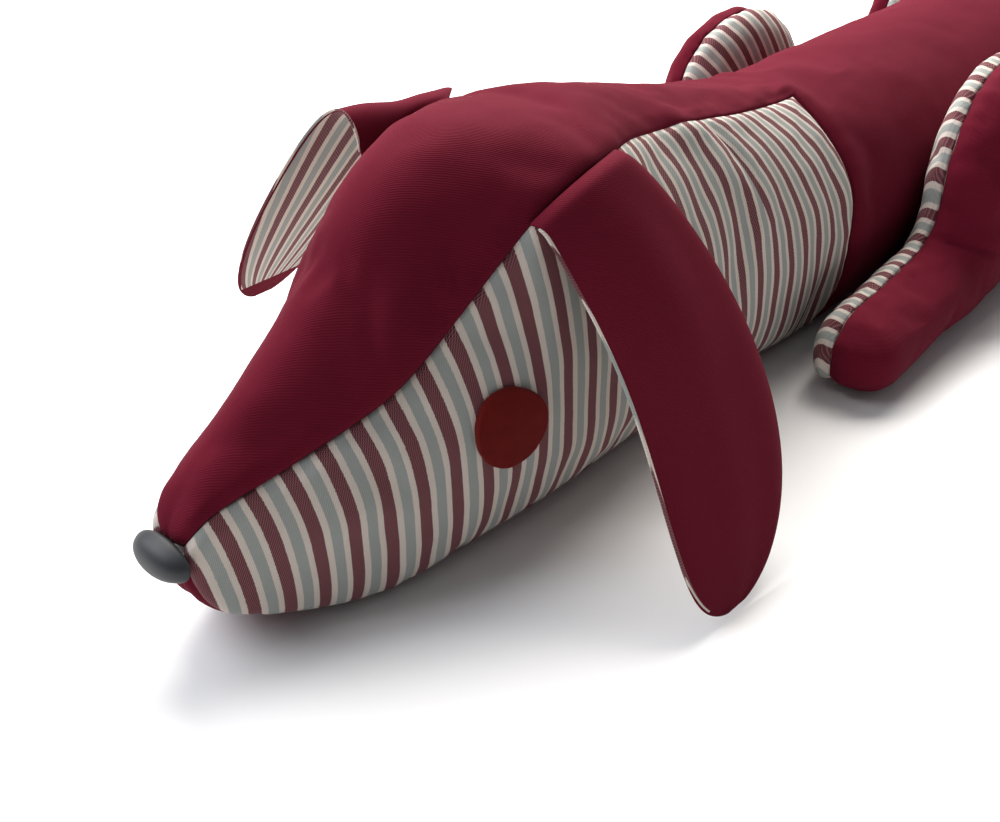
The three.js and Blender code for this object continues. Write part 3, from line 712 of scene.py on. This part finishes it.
def cut_out(mesh, wanted, name):
    """A copy of the faces whose panel number is wanted, with its rim tucked in."""
    part = bmesh.new()
    part.from_mesh(mesh)
    layer = part.faces.layers.int["panel"]
    bmesh.ops.delete(part, geom=[f for f in part.faces if f[layer] != wanted], context="FACES")
    rim = [v for v in part.verts if v.is_boundary]
    part.normal_update()
    for v in rim:
        v.co -= v.normal * SEAM_TUCK
    out = bpy.data.meshes.new(name)
    part.to_mesh(out)
    part.free()
    return out

print("cloth", CLOTH / MM, "mm thick")

# %% [markdown]
# Close to a seam the cloth gathers into small puckers that run across it. Away from the seams
# it has soft lumps of fibre, and on top of the head and neck a few long folds, where the cloth
# is drawn towards the ears and the muzzle.

# %% Puckers, lumps and folds
LUMPS = [(26.0, Vector((0, 0, 0)), 0.0012), (70.0, Vector((5, 1, 2)), 0.0004)]
LUMP_REACH, PUCKER_START, FLOOR_GAP = 0.012, 0.0035, 0.0002
FOLDS = [  # two ends as (station, to the side) in millimetres, the width and the depth
    ((134, -33), (104, -18), 8.0, 1.7), ((54, -18), (41, -1), 3.0, 0.9),
    ((63, -21), (50, -5), 3.2, 0.7), ((184, -45), (160, -24), 5.0, 1.3),
    ((208, -46), (202, -20), 5.0, 1.2), ((262, -28), (238, -9), 6.0, 1.4),
    ((296, -24), (272, -5), 5.0, 1.1), ((128, 34), (108, 14), 7.0, 1.2),
    ((188, 46), (168, 22), 5.0, 1.2), ((214, 44), (206, 18), 5.0, 1.1),
    ((268, 26), (246, 8), 6.0, 1.3),
]

def fold_depth(station, y):
    """How far the soft folds on the top of the head draw the cloth in, in millimetres."""
    depth = 0.0
    for (x0, y0), (x1, y1), width, deepest in FOLDS:
        run_x, run_y = x1 - x0, y1 - y0
        share = np.clip(((station - x0) * run_x + (y - y0) * run_y) / (run_x**2 + run_y**2), 0, 1)
        away = math.hypot(station - x0 - share * run_x, y - y0 - share * run_y)
        depth += deepest * math.exp(-(away / width) ** 2) * (1 - 0.6 * share)
    return depth

def pucker(mesh, reach=0.009, depth=0.0011, every=0.0075):
    """Gathers the cloth into small ridges across each seam, dying out away from it."""
    along = mesh.attributes["seam_along"].data
    away = mesh.attributes["seam_away"].data
    shift = []
    for k, v in enumerate(mesh.vertices):
        d = away[k].value * MM
        fade = math.exp(-d / reach) * min(1.0, d / PUCKER_START)
        ridge = noise.noise(Vector((along[k].value * MM / every, 0.35 * d / every, v.co.z * 9)))
        lump = sum(noise.noise(v.co * scale + offset) * high for scale, offset, high in LUMPS)
        on_top = v.normal.z > 0.3
        fold = fold_depth(v.co.x / MM - SHIFT, v.co.y / MM) * MM if on_top else 0.0
        shift.append(v.normal * (ridge * depth * fade + (lump - fold) * min(1.0, d / LUMP_REACH)))
    for v, move in zip(mesh.vertices, shift):
        v.co += move
        v.co.z = max(v.co.z, FLOOR_GAP)

fine_body = refined(body_form)
pucker(fine_body)
print("puckered", len(fine_body.vertices), "points")

# %% The body's panels
PANELS = [
    ("burgundy_back_cover", 0, BURGUNDY, "plain_cloth", ["burgundy_back_panel"]),
    ("striped_cheek_left", 1, TICKING, "striped_cloth", ["striped_side_panel_left"]),
    ("striped_cheek_right", 2, TICKING, "striped_cloth", ["striped_side_panel_right"]),
    ("underside_cover", 3, BURGUNDY, "plain_cloth", ["belly_panel"]),
]
for name, number, material, slot, stands_for in PANELS:
    mesh = cut_out(fine_body, number, name)
    piece = new_piece(name, mesh, material, stands_for)
    thicken(piece, CLOTH)
    print(name, len(piece.data.polygons), "faces")

# %% [markdown]
# The filling is one soft mass of fibre that fills the covers. It is the swollen form again,
# drawn in by the thickness of the cloth, with a lumpy surface and closed at the muzzle.

# %% Filling
def wadding():
    r = Recipe("fibre_wadding")
    place = r.add("ShaderNodeTexCoord").outputs["Object"]
    wisps = r.noise(place, 420.0, 6.0, 0.75)
    tone = r.mix(wisps, colour(238, 236, 230), colour(222, 220, 214))
    return r.shade(Base_Color=tone, Roughness=1.0, Normal=r.bump(wisps, 0.6, 0.0012),
                   Sheen_Weight=0.3, Specular_IOR_Level=0.1)

WADDING = wadding()

def filling_inside(form, name, stands_for, clearance=0.0028, low=0.0025):
    """A closed copy of a form, drawn in by the clearance and made lumpy."""
    part = bmesh.new()
    part.from_mesh(form.data)
    bmesh.ops.holes_fill(part, edges=[e for e in part.edges if e.is_boundary])
    bmesh.ops.smooth_vert(part, verts=part.verts, factor=0.5, use_axis_x=True, use_axis_y=True,
                          use_axis_z=True)
    part.normal_update()
    for v in part.verts:
        lump = 0.0006 * (1 + noise.noise(v.co * 60.0))
        v.co -= v.normal * (clearance + lump)
        v.co.z = max(v.co.z, low)
    bmesh.ops.triangulate(part, faces=[f for f in part.faces if len(f.verts) > 4])
    mesh = bpy.data.meshes.new(name)
    part.to_mesh(mesh)
    part.free()
    new_piece(name, mesh, WADDING, stands_for)
    print(name, len(mesh.polygons), "faces")

filling_inside(body_form, "body_wadding", ["body_filling"])

# %% [markdown]
# ## Ears
# Each ear is a burgundy layer and a striped lining, sewn together round the edge and turned,
# so the lining just shows along the rim. It springs from the top seam, arches over and
# hangs down, and the near one reaches the floor. The cloth simulation could drop a flat sheet
# from the seam, but where its tip comes to rest is hard to steer, so the hang is one smooth
# curve that can be set by its ends.

# %% The hang of the ears
EAR_ROOT, EAR_ROOT_HALF, EAR_SWELL, EAR_CURL = 190.0, 26.0, 24.0, 57
EAR_ROWS, EAR_COLUMNS = 44, 26
EARS = {
    "left": dict(side=-1, seat=(2.0, 1.1), leave=(9, -12), level=0.0, fall=(115, 66),
                 tip=(148, 2.6), sway=34),
    "right": dict(side=1, seat=(-0.1, 2.2), leave=(3, 13), level=2.8, fall=(76, 154),
                  tip=(139, 48), sway=32),
}

def ear_t(i):
    """From 0 at the root to nearly 1 at the tip, in finer steps towards the tip."""
    return math.sin(i / EAR_ROWS * 1.53) * 0.9995

def ear_v(j):
    """From -1 at the front edge to 1 at the back, in finer steps towards both."""
    return math.sin((j / EAR_COLUMNS - 0.5) * math.pi * 0.94) / math.sin(0.47 * math.pi)

def ear_middle(t, ear):
    """How far behind its root the middle line of an ear lies, in millimetres."""
    return ear["sway"] * t - EAR_CURL * t**3

def ear_half(t):
    """Half the width of an ear, in millimetres."""
    return (EAR_ROOT_HALF + EAR_SWELL * t) * math.sqrt(max(0.0, 1 - t**6))

def ear_point(t, v, lift, ear):
    """A point of an ear: t runs from root to tip, v from front to back, lift is off its middle."""
    root = skin(EAR_ROOT + EAR_ROOT_HALF * v, TOP)
    spring = root.lerp(skin(EAR_ROOT, TOP), ear["level"])
    p0 = Vector((root.y + ear["seat"][0], root.z + ear["seat"][1]))
    p1 = Vector((spring.y + ear["leave"][0], spring.z + ear["leave"][1]))
    p2, p3 = Vector(ear["fall"]), Vector(ear["tip"])
    at = p0 * (1 - t)**3 + p1 * 3 * t * (1 - t)**2 + p2 * 3 * t * t * (1 - t) + p3 * t**3
    along = (p1 - p0) * (1 - t)**2 + (p2 - p1) * 2 * t * (1 - t) + (p3 - p2) * t * t
    along.normalize()
    station = EAR_ROOT + ear_middle(t, ear) + ear_half(t) * v
    out, up = at.x - along.y * lift, at.y + along.x * lift
    return Vector((station + SHIFT, out * ear["side"], max(up, 0.4)))

def ear_run(ear):
    """How far along the ear each row lies, in millimetres of cloth."""
    spots = [ear_point(ear_t(i), 0, 0, ear) for i in range(EAR_ROWS + 1)]
    run = [0.0]
    for a, b in zip(spots, spots[1:]):
        run.append(run[-1] + (b - a).length)
    return run

def ear_flat(ear):
    """The size of the flat cloth of an ear, in metres: its widest reach and its length."""
    rows = [ear_t(i) for i in range(EAR_ROWS + 1)]
    widest = (max(ear_middle(t, ear) + ear_half(t) for t in rows)
              - min(ear_middle(t, ear) - ear_half(t) for t in rows)) * MM
    return widest, ear_run(ear)[-1] * MM

print("ears", {hand: [round(v, 3) for v in ear_flat(ear)] for hand, ear in EARS.items()})

# %% [markdown]
# The two layers meet along the rim. At the front edge the lining is rolled up over the rim,
# so it shows as a thin pale line, and round the tip and the back the burgundy is rolled down.
# At the root the burgundy laps over the top seam and hides it.

# %% One layer of an ear
ROOT_OVER, ROOT_UP, ROOT_LAP, ROOT_TUCK = 2.2, 0.5, 0.016, 0.02
HALF_GAP, FULLNESS, RIM_ROLL, LINING_ROLL = 1.05, 0.9, 1.9, 1.7
LINING_START, LINING_END = 0.035, 0.03
EAR_WAVE, EAR_CLOTH = 1.6, 0.0011

def ear_layer(name, ear, outside, material, stands_for):
    """Makes the burgundy layer of an ear, or the striped one if it isn't the outside."""
    run = ear_run(ear)

    def place(i, j):
        t, v = ear_t(i), ear_v(j)
        front = np.clip(-v, 0, 1) ** 9 * (1 - t ** 12)
        rest = max(np.clip(v, 0, 1) ** 9, t ** 14)
        ripple = noise.noise(Vector((v * 1.7 + 3 * ear["side"], t * 2.6, 0.5)))
        wave = EAR_WAVE * ripple * math.sin(math.pi * t) ** 0.5
        full = (1 - v**4) * (1 - t**8)
        tuck = math.exp(-t / ROOT_TUCK)
        if outside:
            lift = HALF_GAP + FULLNESS * full - 0.1 * front - RIM_ROLL * rest
            scale = 1.0 - 0.022 * front + 0.02 * tuck
        else:
            t = LINING_START + (1 - LINING_START - LINING_END * rest) * t
            lift = -HALF_GAP - FULLNESS * full + LINING_ROLL * front * (1 - tuck) - 0.35 * rest
            scale = 1.0 - 0.05 * rest
        spot = ear_point(t, v * scale, lift + wave, ear)
        if outside:
            seam = skin(EAR_ROOT + EAR_ROOT_HALF * v, TOP)
            seam = Vector((seam.x, ear["side"] * (seam.y - ROOT_OVER), seam.z + ROOT_UP))
            spot = spot.lerp(seam, math.exp(-t / ROOT_LAP))
        return spot

    sheet = grid_sheet(EAR_ROWS, EAR_COLUMNS, place)
    layer = sheet.loops.layers.uv.new("cloth")
    for face in sheet.faces:
        face.smooth = True
        for loop in face.loops:
            i, j = divmod(loop.vert.index, EAR_COLUMNS + 1)
            across = (5.0 + (EAR_ROOT_HALF + EAR_SWELL * ear_t(i)) * ear_v(j)) * MM
            loop[layer].uv = (run[i] * MM, -across) if outside else (across, run[i] * MM)
    sheet.normal_update()
    facing = sum(f.normal.z for f in sheet.faces)
    if (facing < 0) == outside:
        bmesh.ops.reverse_faces(sheet, faces=sheet.faces)
    mesh = bpy.data.meshes.new(name)
    sheet.to_mesh(mesh)
    sheet.free()
    piece = new_piece(name, mesh, material, stands_for)
    thicken(piece, EAR_CLOTH)
    fine = piece.modifiers.new("smooth_cloth", "SUBSURF")
    fine.levels = fine.render_levels = 1
    flat, flat_area = ear_flat(ear), sum(p.area for p in mesh.polygons)
    print(name, "flat", [round(v, 3) for v in flat], "area", round(flat_area, 4))

# %% Both ears
for hand, ear in EARS.items():
    ear_layer(f"ear_cover_{hand}", ear, True, BURGUNDY, [f"ear_outer_{hand}"])
    ear_layer(f"ear_lining_cloth_{hand}", ear, False, TICKING,
              [f"ear_lining_{hand}"])

# %% [markdown]
# ## Legs
# A leg is a flat pillow: a paw that points forward and a round haunch, sewn round the outline
# from a burgundy panel outside and a striped one inside. Its seam stands a little further out
# towards the paw, because the leg splays.

# %% Where the seam of a leg runs
HAUNCH = {"front": 498.0, "hind": 751.0}
LEG_INNER = {"left": 16.5, "right": 21.0}
BODY_HALF, LEG_REACH, LEG_SPLAY = 64.3, 181.0, 11.0

def seam_out(place, hand, x):
    """How far to the side the seam of a leg lies, signed, in metres."""
    forward = np.clip((HAUNCH[place] - (x / MM - SHIFT)) / LEG_REACH, 0, 1)
    out = (BODY_HALF + LEG_INNER[hand] + LEG_SPLAY * forward) * MM
    return out if hand == "right" else -out

haunch_seam = seam_out("front", "left", (HAUNCH["front"] + SHIFT) * MM)
print("leg seam at the left haunch", round(haunch_seam / MM, 1), "mm to the side")

# %% [markdown]
# The solid filling has long thin triangles, which can't bend as cloth does. It is remeshed
# evenly first, and then swells with its seam held.

# %% A swollen pillow for a leg
LEG_VOXEL, SEW_REACH, SEW_TURN = 0.0046, 0.0026, 0.8

def leg_form(place, hand):
    """A swollen pillow of one leg, made from the solid filling."""
    part = bmesh.new()
    part.from_mesh(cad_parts[f"{place}_leg_filling_{hand}"].data)
    bmesh.ops.remove_doubles(part, verts=part.verts, dist=WELD)
    mesh = bpy.data.meshes.new(f"{place}_leg_form_{hand}")
    part.to_mesh(mesh)
    part.free()
    form = bpy.data.objects.new(mesh.name, mesh)
    scene.collection.objects.link(form)
    even = form.modifiers.new("even", "REMESH")
    even.mode = "VOXEL"
    even.voxel_size = LEG_VOXEL
    depsgraph = bpy.context.evaluated_depsgraph_get()
    remeshed = bpy.data.meshes.new_from_object(form.evaluated_get(depsgraph), depsgraph=depsgraph)
    form.modifiers.remove(even)
    form.data = remeshed
    sew = [(v.index, 1.0) for v in remeshed.vertices
           if abs(v.co.y - seam_out(place, hand, v.co.x)) < SEW_REACH
           and abs(v.normal.y) < SEW_TURN]
    stuff(form, sew, pressure=4.0, cap=0.0045, growth=0.012)
    return form

print("leg cloth in steps of", LEG_VOXEL / MM, "mm")

# %% [markdown]
# The pillow is cut in two along the seam. The seam lies in a groove with puckers beside it,
# and the outer panel has a soft fold at the elbow, where the paw meets the haunch.

# %% Relief of a leg
ELBOW_AHEAD, ELBOW_HEIGHT, ELBOW_SLOPE, ELBOW_WIDTH = 65.0, 46.0, 0.45, 2.4
ELBOW_DEPTH, LEG_GROOVE, LEG_PUCKER, LEG_LUMP = 0.0022, 0.0024, 0.0015, 0.0008

def leg_relief(v, elbow, side):
    """How one point of a leg moves. Its y is measured from the seam."""
    away = abs(v.co.y)
    crease = math.exp(-(away / 0.0042) ** 2)
    inward = Vector((v.normal.x, 0, v.normal.z))
    ridge = noise.noise(Vector((v.co.x / 0.008, v.co.z / 0.008, away * 30)))
    fade = math.exp(-away / 0.009) * min(1.0, away / 0.003)
    lump = noise.noise(v.co * 34.0) * LEG_LUMP * min(1.0, away / 0.01)
    back, high = v.co.x / MM - SHIFT - elbow, v.co.z / MM - ELBOW_HEIGHT
    off_line = high + ELBOW_SLOPE * back
    fold = (math.exp(-(off_line / ELBOW_WIDTH) ** 2) * np.clip(1.3 - back / 34, 0, 1)
            * np.clip((back + 18) / 4, 0, 1))
    if v.co.y * side < 0.001:
        fold = 0.0
    swell = ridge * LEG_PUCKER * fade + lump - ELBOW_DEPTH * fold
    return v.normal * swell - inward * LEG_GROOVE * crease

print("elbow fold", ELBOW_DEPTH / MM, "mm deep")

# %% Two panels from one pillow
LEG_PANELS = [(0, "outer", BURGUNDY, "plain_cloth"), (1, "inner", TICKING, "striped_cloth")]
CUT_SNAP, WEAVE_LEAN, STRIPE_LEAN = 0.0004, 0.5, 0.8

def leg_panels(form, place, hand):
    """Cuts a leg form along its seam and finishes the two panels."""
    part = bmesh.new()
    part.from_mesh(refined(form))
    side = 1 if hand == "right" else -1
    elbow = HAUNCH[place] - ELBOW_AHEAD
    for v in part.verts:
        v.co.y -= seam_out(place, hand, v.co.x)
    bmesh.ops.bisect_plane(part, geom=part.verts[:] + part.edges[:] + part.faces[:],
                           dist=CUT_SNAP, plane_co=(0, 0, 0), plane_no=(0, 1, 0))
    part.normal_update()
    moves = [leg_relief(v, elbow, side) for v in part.verts]
    for v, move in zip(part.verts, moves):
        v.co += move
        v.co.z = max(v.co.z, FLOOR_GAP)
    layer = part.faces.layers.int.new("panel")
    uv = part.loops.layers.uv.new("cloth")
    for face in part.faces:
        outside = face.calc_center_median().y * side > 0
        face[layer] = 0 if outside else 1
        for loop in face.loops:
            x, y, z = loop.vert.co
            loop[uv].uv = (x - SHIFT * MM + WEAVE_LEAN * z, z - STRIPE_LEAN * abs(y))
    for v in part.verts:
        v.co.y += seam_out(place, hand, v.co.x)
    mesh = bpy.data.meshes.new(f"{place}_leg_{hand}")
    part.to_mesh(mesh)
    part.free()
    for number, which, material, slot in LEG_PANELS:
        name = f"{place}_leg_{which}_cloth_{hand}"
        piece = new_piece(name, cut_out(mesh, number, name), material,
                          [f"{place}_leg_{which}_{hand}"])
        thicken(piece, CLOTH)
        print(name, len(piece.data.polygons), "faces")

# %% The four legs
for place in ("front", "hind"):
    for hand in ("left", "right"):
        form = leg_form(place, hand)
        leg_panels(form, place, hand)
        filling_inside(form, f"{place}_leg_wadding_{hand}", [f"{place}_leg_filling_{hand}"])
        bpy.data.objects.remove(form)

# %% [markdown]
# ## Tail
# A short stuffed taper, sewn to the rump and rising a little. It is a sheet rolled into a
# tube, which flares where it is sewn on and rounds off at its end.

# %% Tail
TAIL_START, TAIL_END, TAIL_RADIUS, TAIL_TAPER = 828.5, 905.0, 13, 6
TAIL_LOW, TAIL_RISE = 62, 22
TAIL_ROWS, TAIL_SPOKES = 34, 36
TAIL_CLOTH, TAIL_MIDDLE = (0.0765, 0.07), Vector((0.41, 0, 0.066))

def tail_place(i, j, depth=0.0):
    """A point of the tail, drawn in by the depth, in millimetres."""
    t = i / TAIL_ROWS
    end = math.sqrt(max(0.0, 1 - max(0.0, (t - 0.86) / 0.14) ** 2))
    flare = 2.2 * math.exp(-t / 0.03)
    radius = (TAIL_RADIUS - TAIL_TAPER * t + flare - depth) * end
    angle = j / TAIL_SPOKES * 2 * math.pi
    across, up = math.sin(angle), math.cos(angle)
    wrinkle = 1 + 0.045 * noise.noise(Vector((t * 14, up * 1.5, across * 1.5)))
    station = TAIL_START + (TAIL_END - depth - TAIL_START) * (1 - (1 - t) ** 1.05)
    rise = TAIL_LOW + TAIL_RISE * t * t
    return Vector((station + SHIFT, radius * wrinkle * across, rise + radius * wrinkle * up))

def tail_form(name, depth):
    """The tube of the tail. The filling, which is drawn in, is closed at its root."""
    part = grid_sheet(TAIL_ROWS, TAIL_SPOKES, lambda i, j: tail_place(i, j, depth))
    layer = part.loops.layers.uv.new("cloth")
    for face in part.faces:
        for loop in face.loops:
            i, j = divmod(loop.vert.index, TAIL_SPOKES + 1)
            loop[layer].uv = (i / TAIL_ROWS * TAIL_CLOTH[0], j / TAIL_SPOKES * TAIL_CLOTH[1])
    bmesh.ops.remove_doubles(part, verts=part.verts, dist=0.00005)
    part.normal_update()
    if sum(f.normal.dot(f.calc_center_median() - TAIL_MIDDLE) for f in part.faces) < 0:
        bmesh.ops.reverse_faces(part, faces=part.faces)
    if depth > 0:
        bmesh.ops.holes_fill(part, edges=[e for e in part.edges if e.is_boundary])
        bmesh.ops.triangulate(part, faces=[f for f in part.faces if len(f.verts) > 4])
    mesh = bpy.data.meshes.new(name)
    part.to_mesh(mesh)
    part.free()
    return mesh

tail = new_piece("tail_cover", tail_form("tail_cover", 0.0), BURGUNDY,
                 ["tail_panel"])
thicken(tail, CLOTH)
new_piece("tail_wadding", tail_form("tail_wadding", 2.6), WADDING, ["tail_filling"])
print("tail made")

# %% [markdown]
# ## Eyes
# An eye is a disc of thick felt, cut out and fixed flat on the cheek, with a soft rim. It is
# turned as a profile, then pressed onto the swollen cheek.

# %% Turning a profile
cheeks = BVHTree.FromPolygons([v.co.copy() for v in fine_body.vertices],
                              [list(p.vertices) for p in fine_body.polygons])

def turned(profile, steps):
    """A closed body turned about Z from a profile of (radius, height) points."""
    part = bmesh.new()
    verts = [part.verts.new((r, 0, z)) for r, z in profile]
    edges = [part.edges.new(pair) for pair in zip(verts, verts[1:])]
    bmesh.ops.spin(part, geom=verts + edges, cent=(0, 0, 0), axis=(0, 0, 1), angle=2 * math.pi,
                   steps=steps, use_merge=True)
    bmesh.ops.remove_doubles(part, verts=part.verts, dist=0.000001)
    bmesh.ops.recalc_face_normals(part, faces=part.faces)
    return part

print("cheeks to press on", len(fine_body.polygons), "faces")

# %% Eyes
EYE_STATION, EYE_HEIGHT, EYE_RADIUS, EYE_THICKNESS = 137.6, 63.0, 16.5, 3.0
EYE_STEPS, EYE_GAP = 96, 0.0001

def eye(hand, side):
    """One eye, pressed onto the cheek so that its back follows the cloth."""
    r, h = EYE_RADIUS * MM, EYE_THICKNESS * MM
    rim = [(r * 0.965 + h * 0.2 * math.sin(a), h * 0.55 + h * 0.45 * math.cos(a))
           for a in (0.0, 0.4, 0.8, 1.2, math.pi / 2)]
    flat = [(r * k, h * (1.0 + 0.06 * (1 - k * k))) for k in np.linspace(0, 0.93, 16)]
    back = [(r, h * 0.25), (r * 0.985, 0.0)] + [(r * k, 0.0) for k in (0.8, 0.6, 0.4, 0.2, 0.0)]
    part = turned(flat + rim + back, EYE_STEPS)
    for v in part.verts:
        dx, dz, depth = v.co.x, v.co.y, v.co.z
        x, z = (EYE_STATION + SHIFT) * MM + dx, EYE_HEIGHT * MM + dz
        hit = cheeks.ray_cast(Vector((x, side * 0.2, z)), Vector((0, -side, 0)))[0]
        out = Vector((-0.2, side, 0.0)).normalized()
        edge = min(1.0, Vector((dx, dz)).length / r)
        fuzz = (0.00012 * noise.noise(Vector((dx, dz, depth)) * 900)
                + 0.00025 * noise.noise(Vector((dx, dz, 1)) * 140))
        v.co = hit + out * (depth + EYE_GAP + fuzz * (1.0 + edge ** 8))
    bmesh.ops.recalc_face_normals(part, faces=part.faces)
    mesh = bpy.data.meshes.new(f"felt_eye_{hand}")
    part.to_mesh(mesh)
    part.free()
    new_piece(mesh.name, mesh, FELT, [f"eye_{hand}"])

eye("left", -1)
eye("right", 1)
print("eyes made")

# %% [markdown]
# ## Nose
# One moulded oval: a flange that sits against the cloth, a rounded shoulder and a low dome.
# It is turned round as the eyes are, and then pressed into its oval.

# %% Nose
NOSE_HALF_WIDTH, NOSE_HALF_HEIGHT, NOSE_DEPTH = 16.0, 8.5, 9.0
NOSE_HEIGHT, NOSE_TILT, NOSE_STEPS = 45.0, 6.0, 64
profile = [(0.0, -0.16), (0.80, -0.16), (0.93, -0.10), (0.985, 0.0), (1.0, 0.08), (0.99, 0.18),
           (0.955, 0.30), (0.90, 0.44), (0.82, 0.58), (0.72, 0.70), (0.60, 0.80), (0.46, 0.885),
           (0.32, 0.945), (0.17, 0.985), (0.0, 1.0)]
part = turned(profile, NOSE_STEPS)
for v in part.verts:
    sink = 0.05 * math.exp(-((v.co.x ** 2 + v.co.y ** 2) / 0.16)) if v.co.z > 0 else 0.0
    v.co = Vector((-(v.co.z - sink) * NOSE_DEPTH, v.co.x * NOSE_HALF_WIDTH,
                   v.co.y * NOSE_HALF_HEIGHT))
seat = Matrix.Translation(((NOSE_STATION + NOSE_DEPTH + SHIFT) * MM, 0, NOSE_HEIGHT * MM))
tilt = Matrix.Rotation(math.radians(NOSE_TILT), 4, "Y")
bmesh.ops.transform(part, verts=part.verts, matrix=seat @ tilt @ Matrix.Scale(MM, 4))
bmesh.ops.recalc_face_normals(part, faces=part.faces)
mesh = bpy.data.meshes.new("nose_moulding")
part.to_mesh(mesh)
part.free()
nose = new_piece("nose_moulding", mesh, MOULDING, ["nose"])
fine = nose.modifiers.new("smooth_moulding", "SUBSURF")
fine.levels = fine.render_levels = 2
print("nose made")

# %% [markdown]
# ## Finish
# The form that the panels were cut from isn't a piece, so it goes.

# %% Finish
bpy.data.objects.remove(body_form)
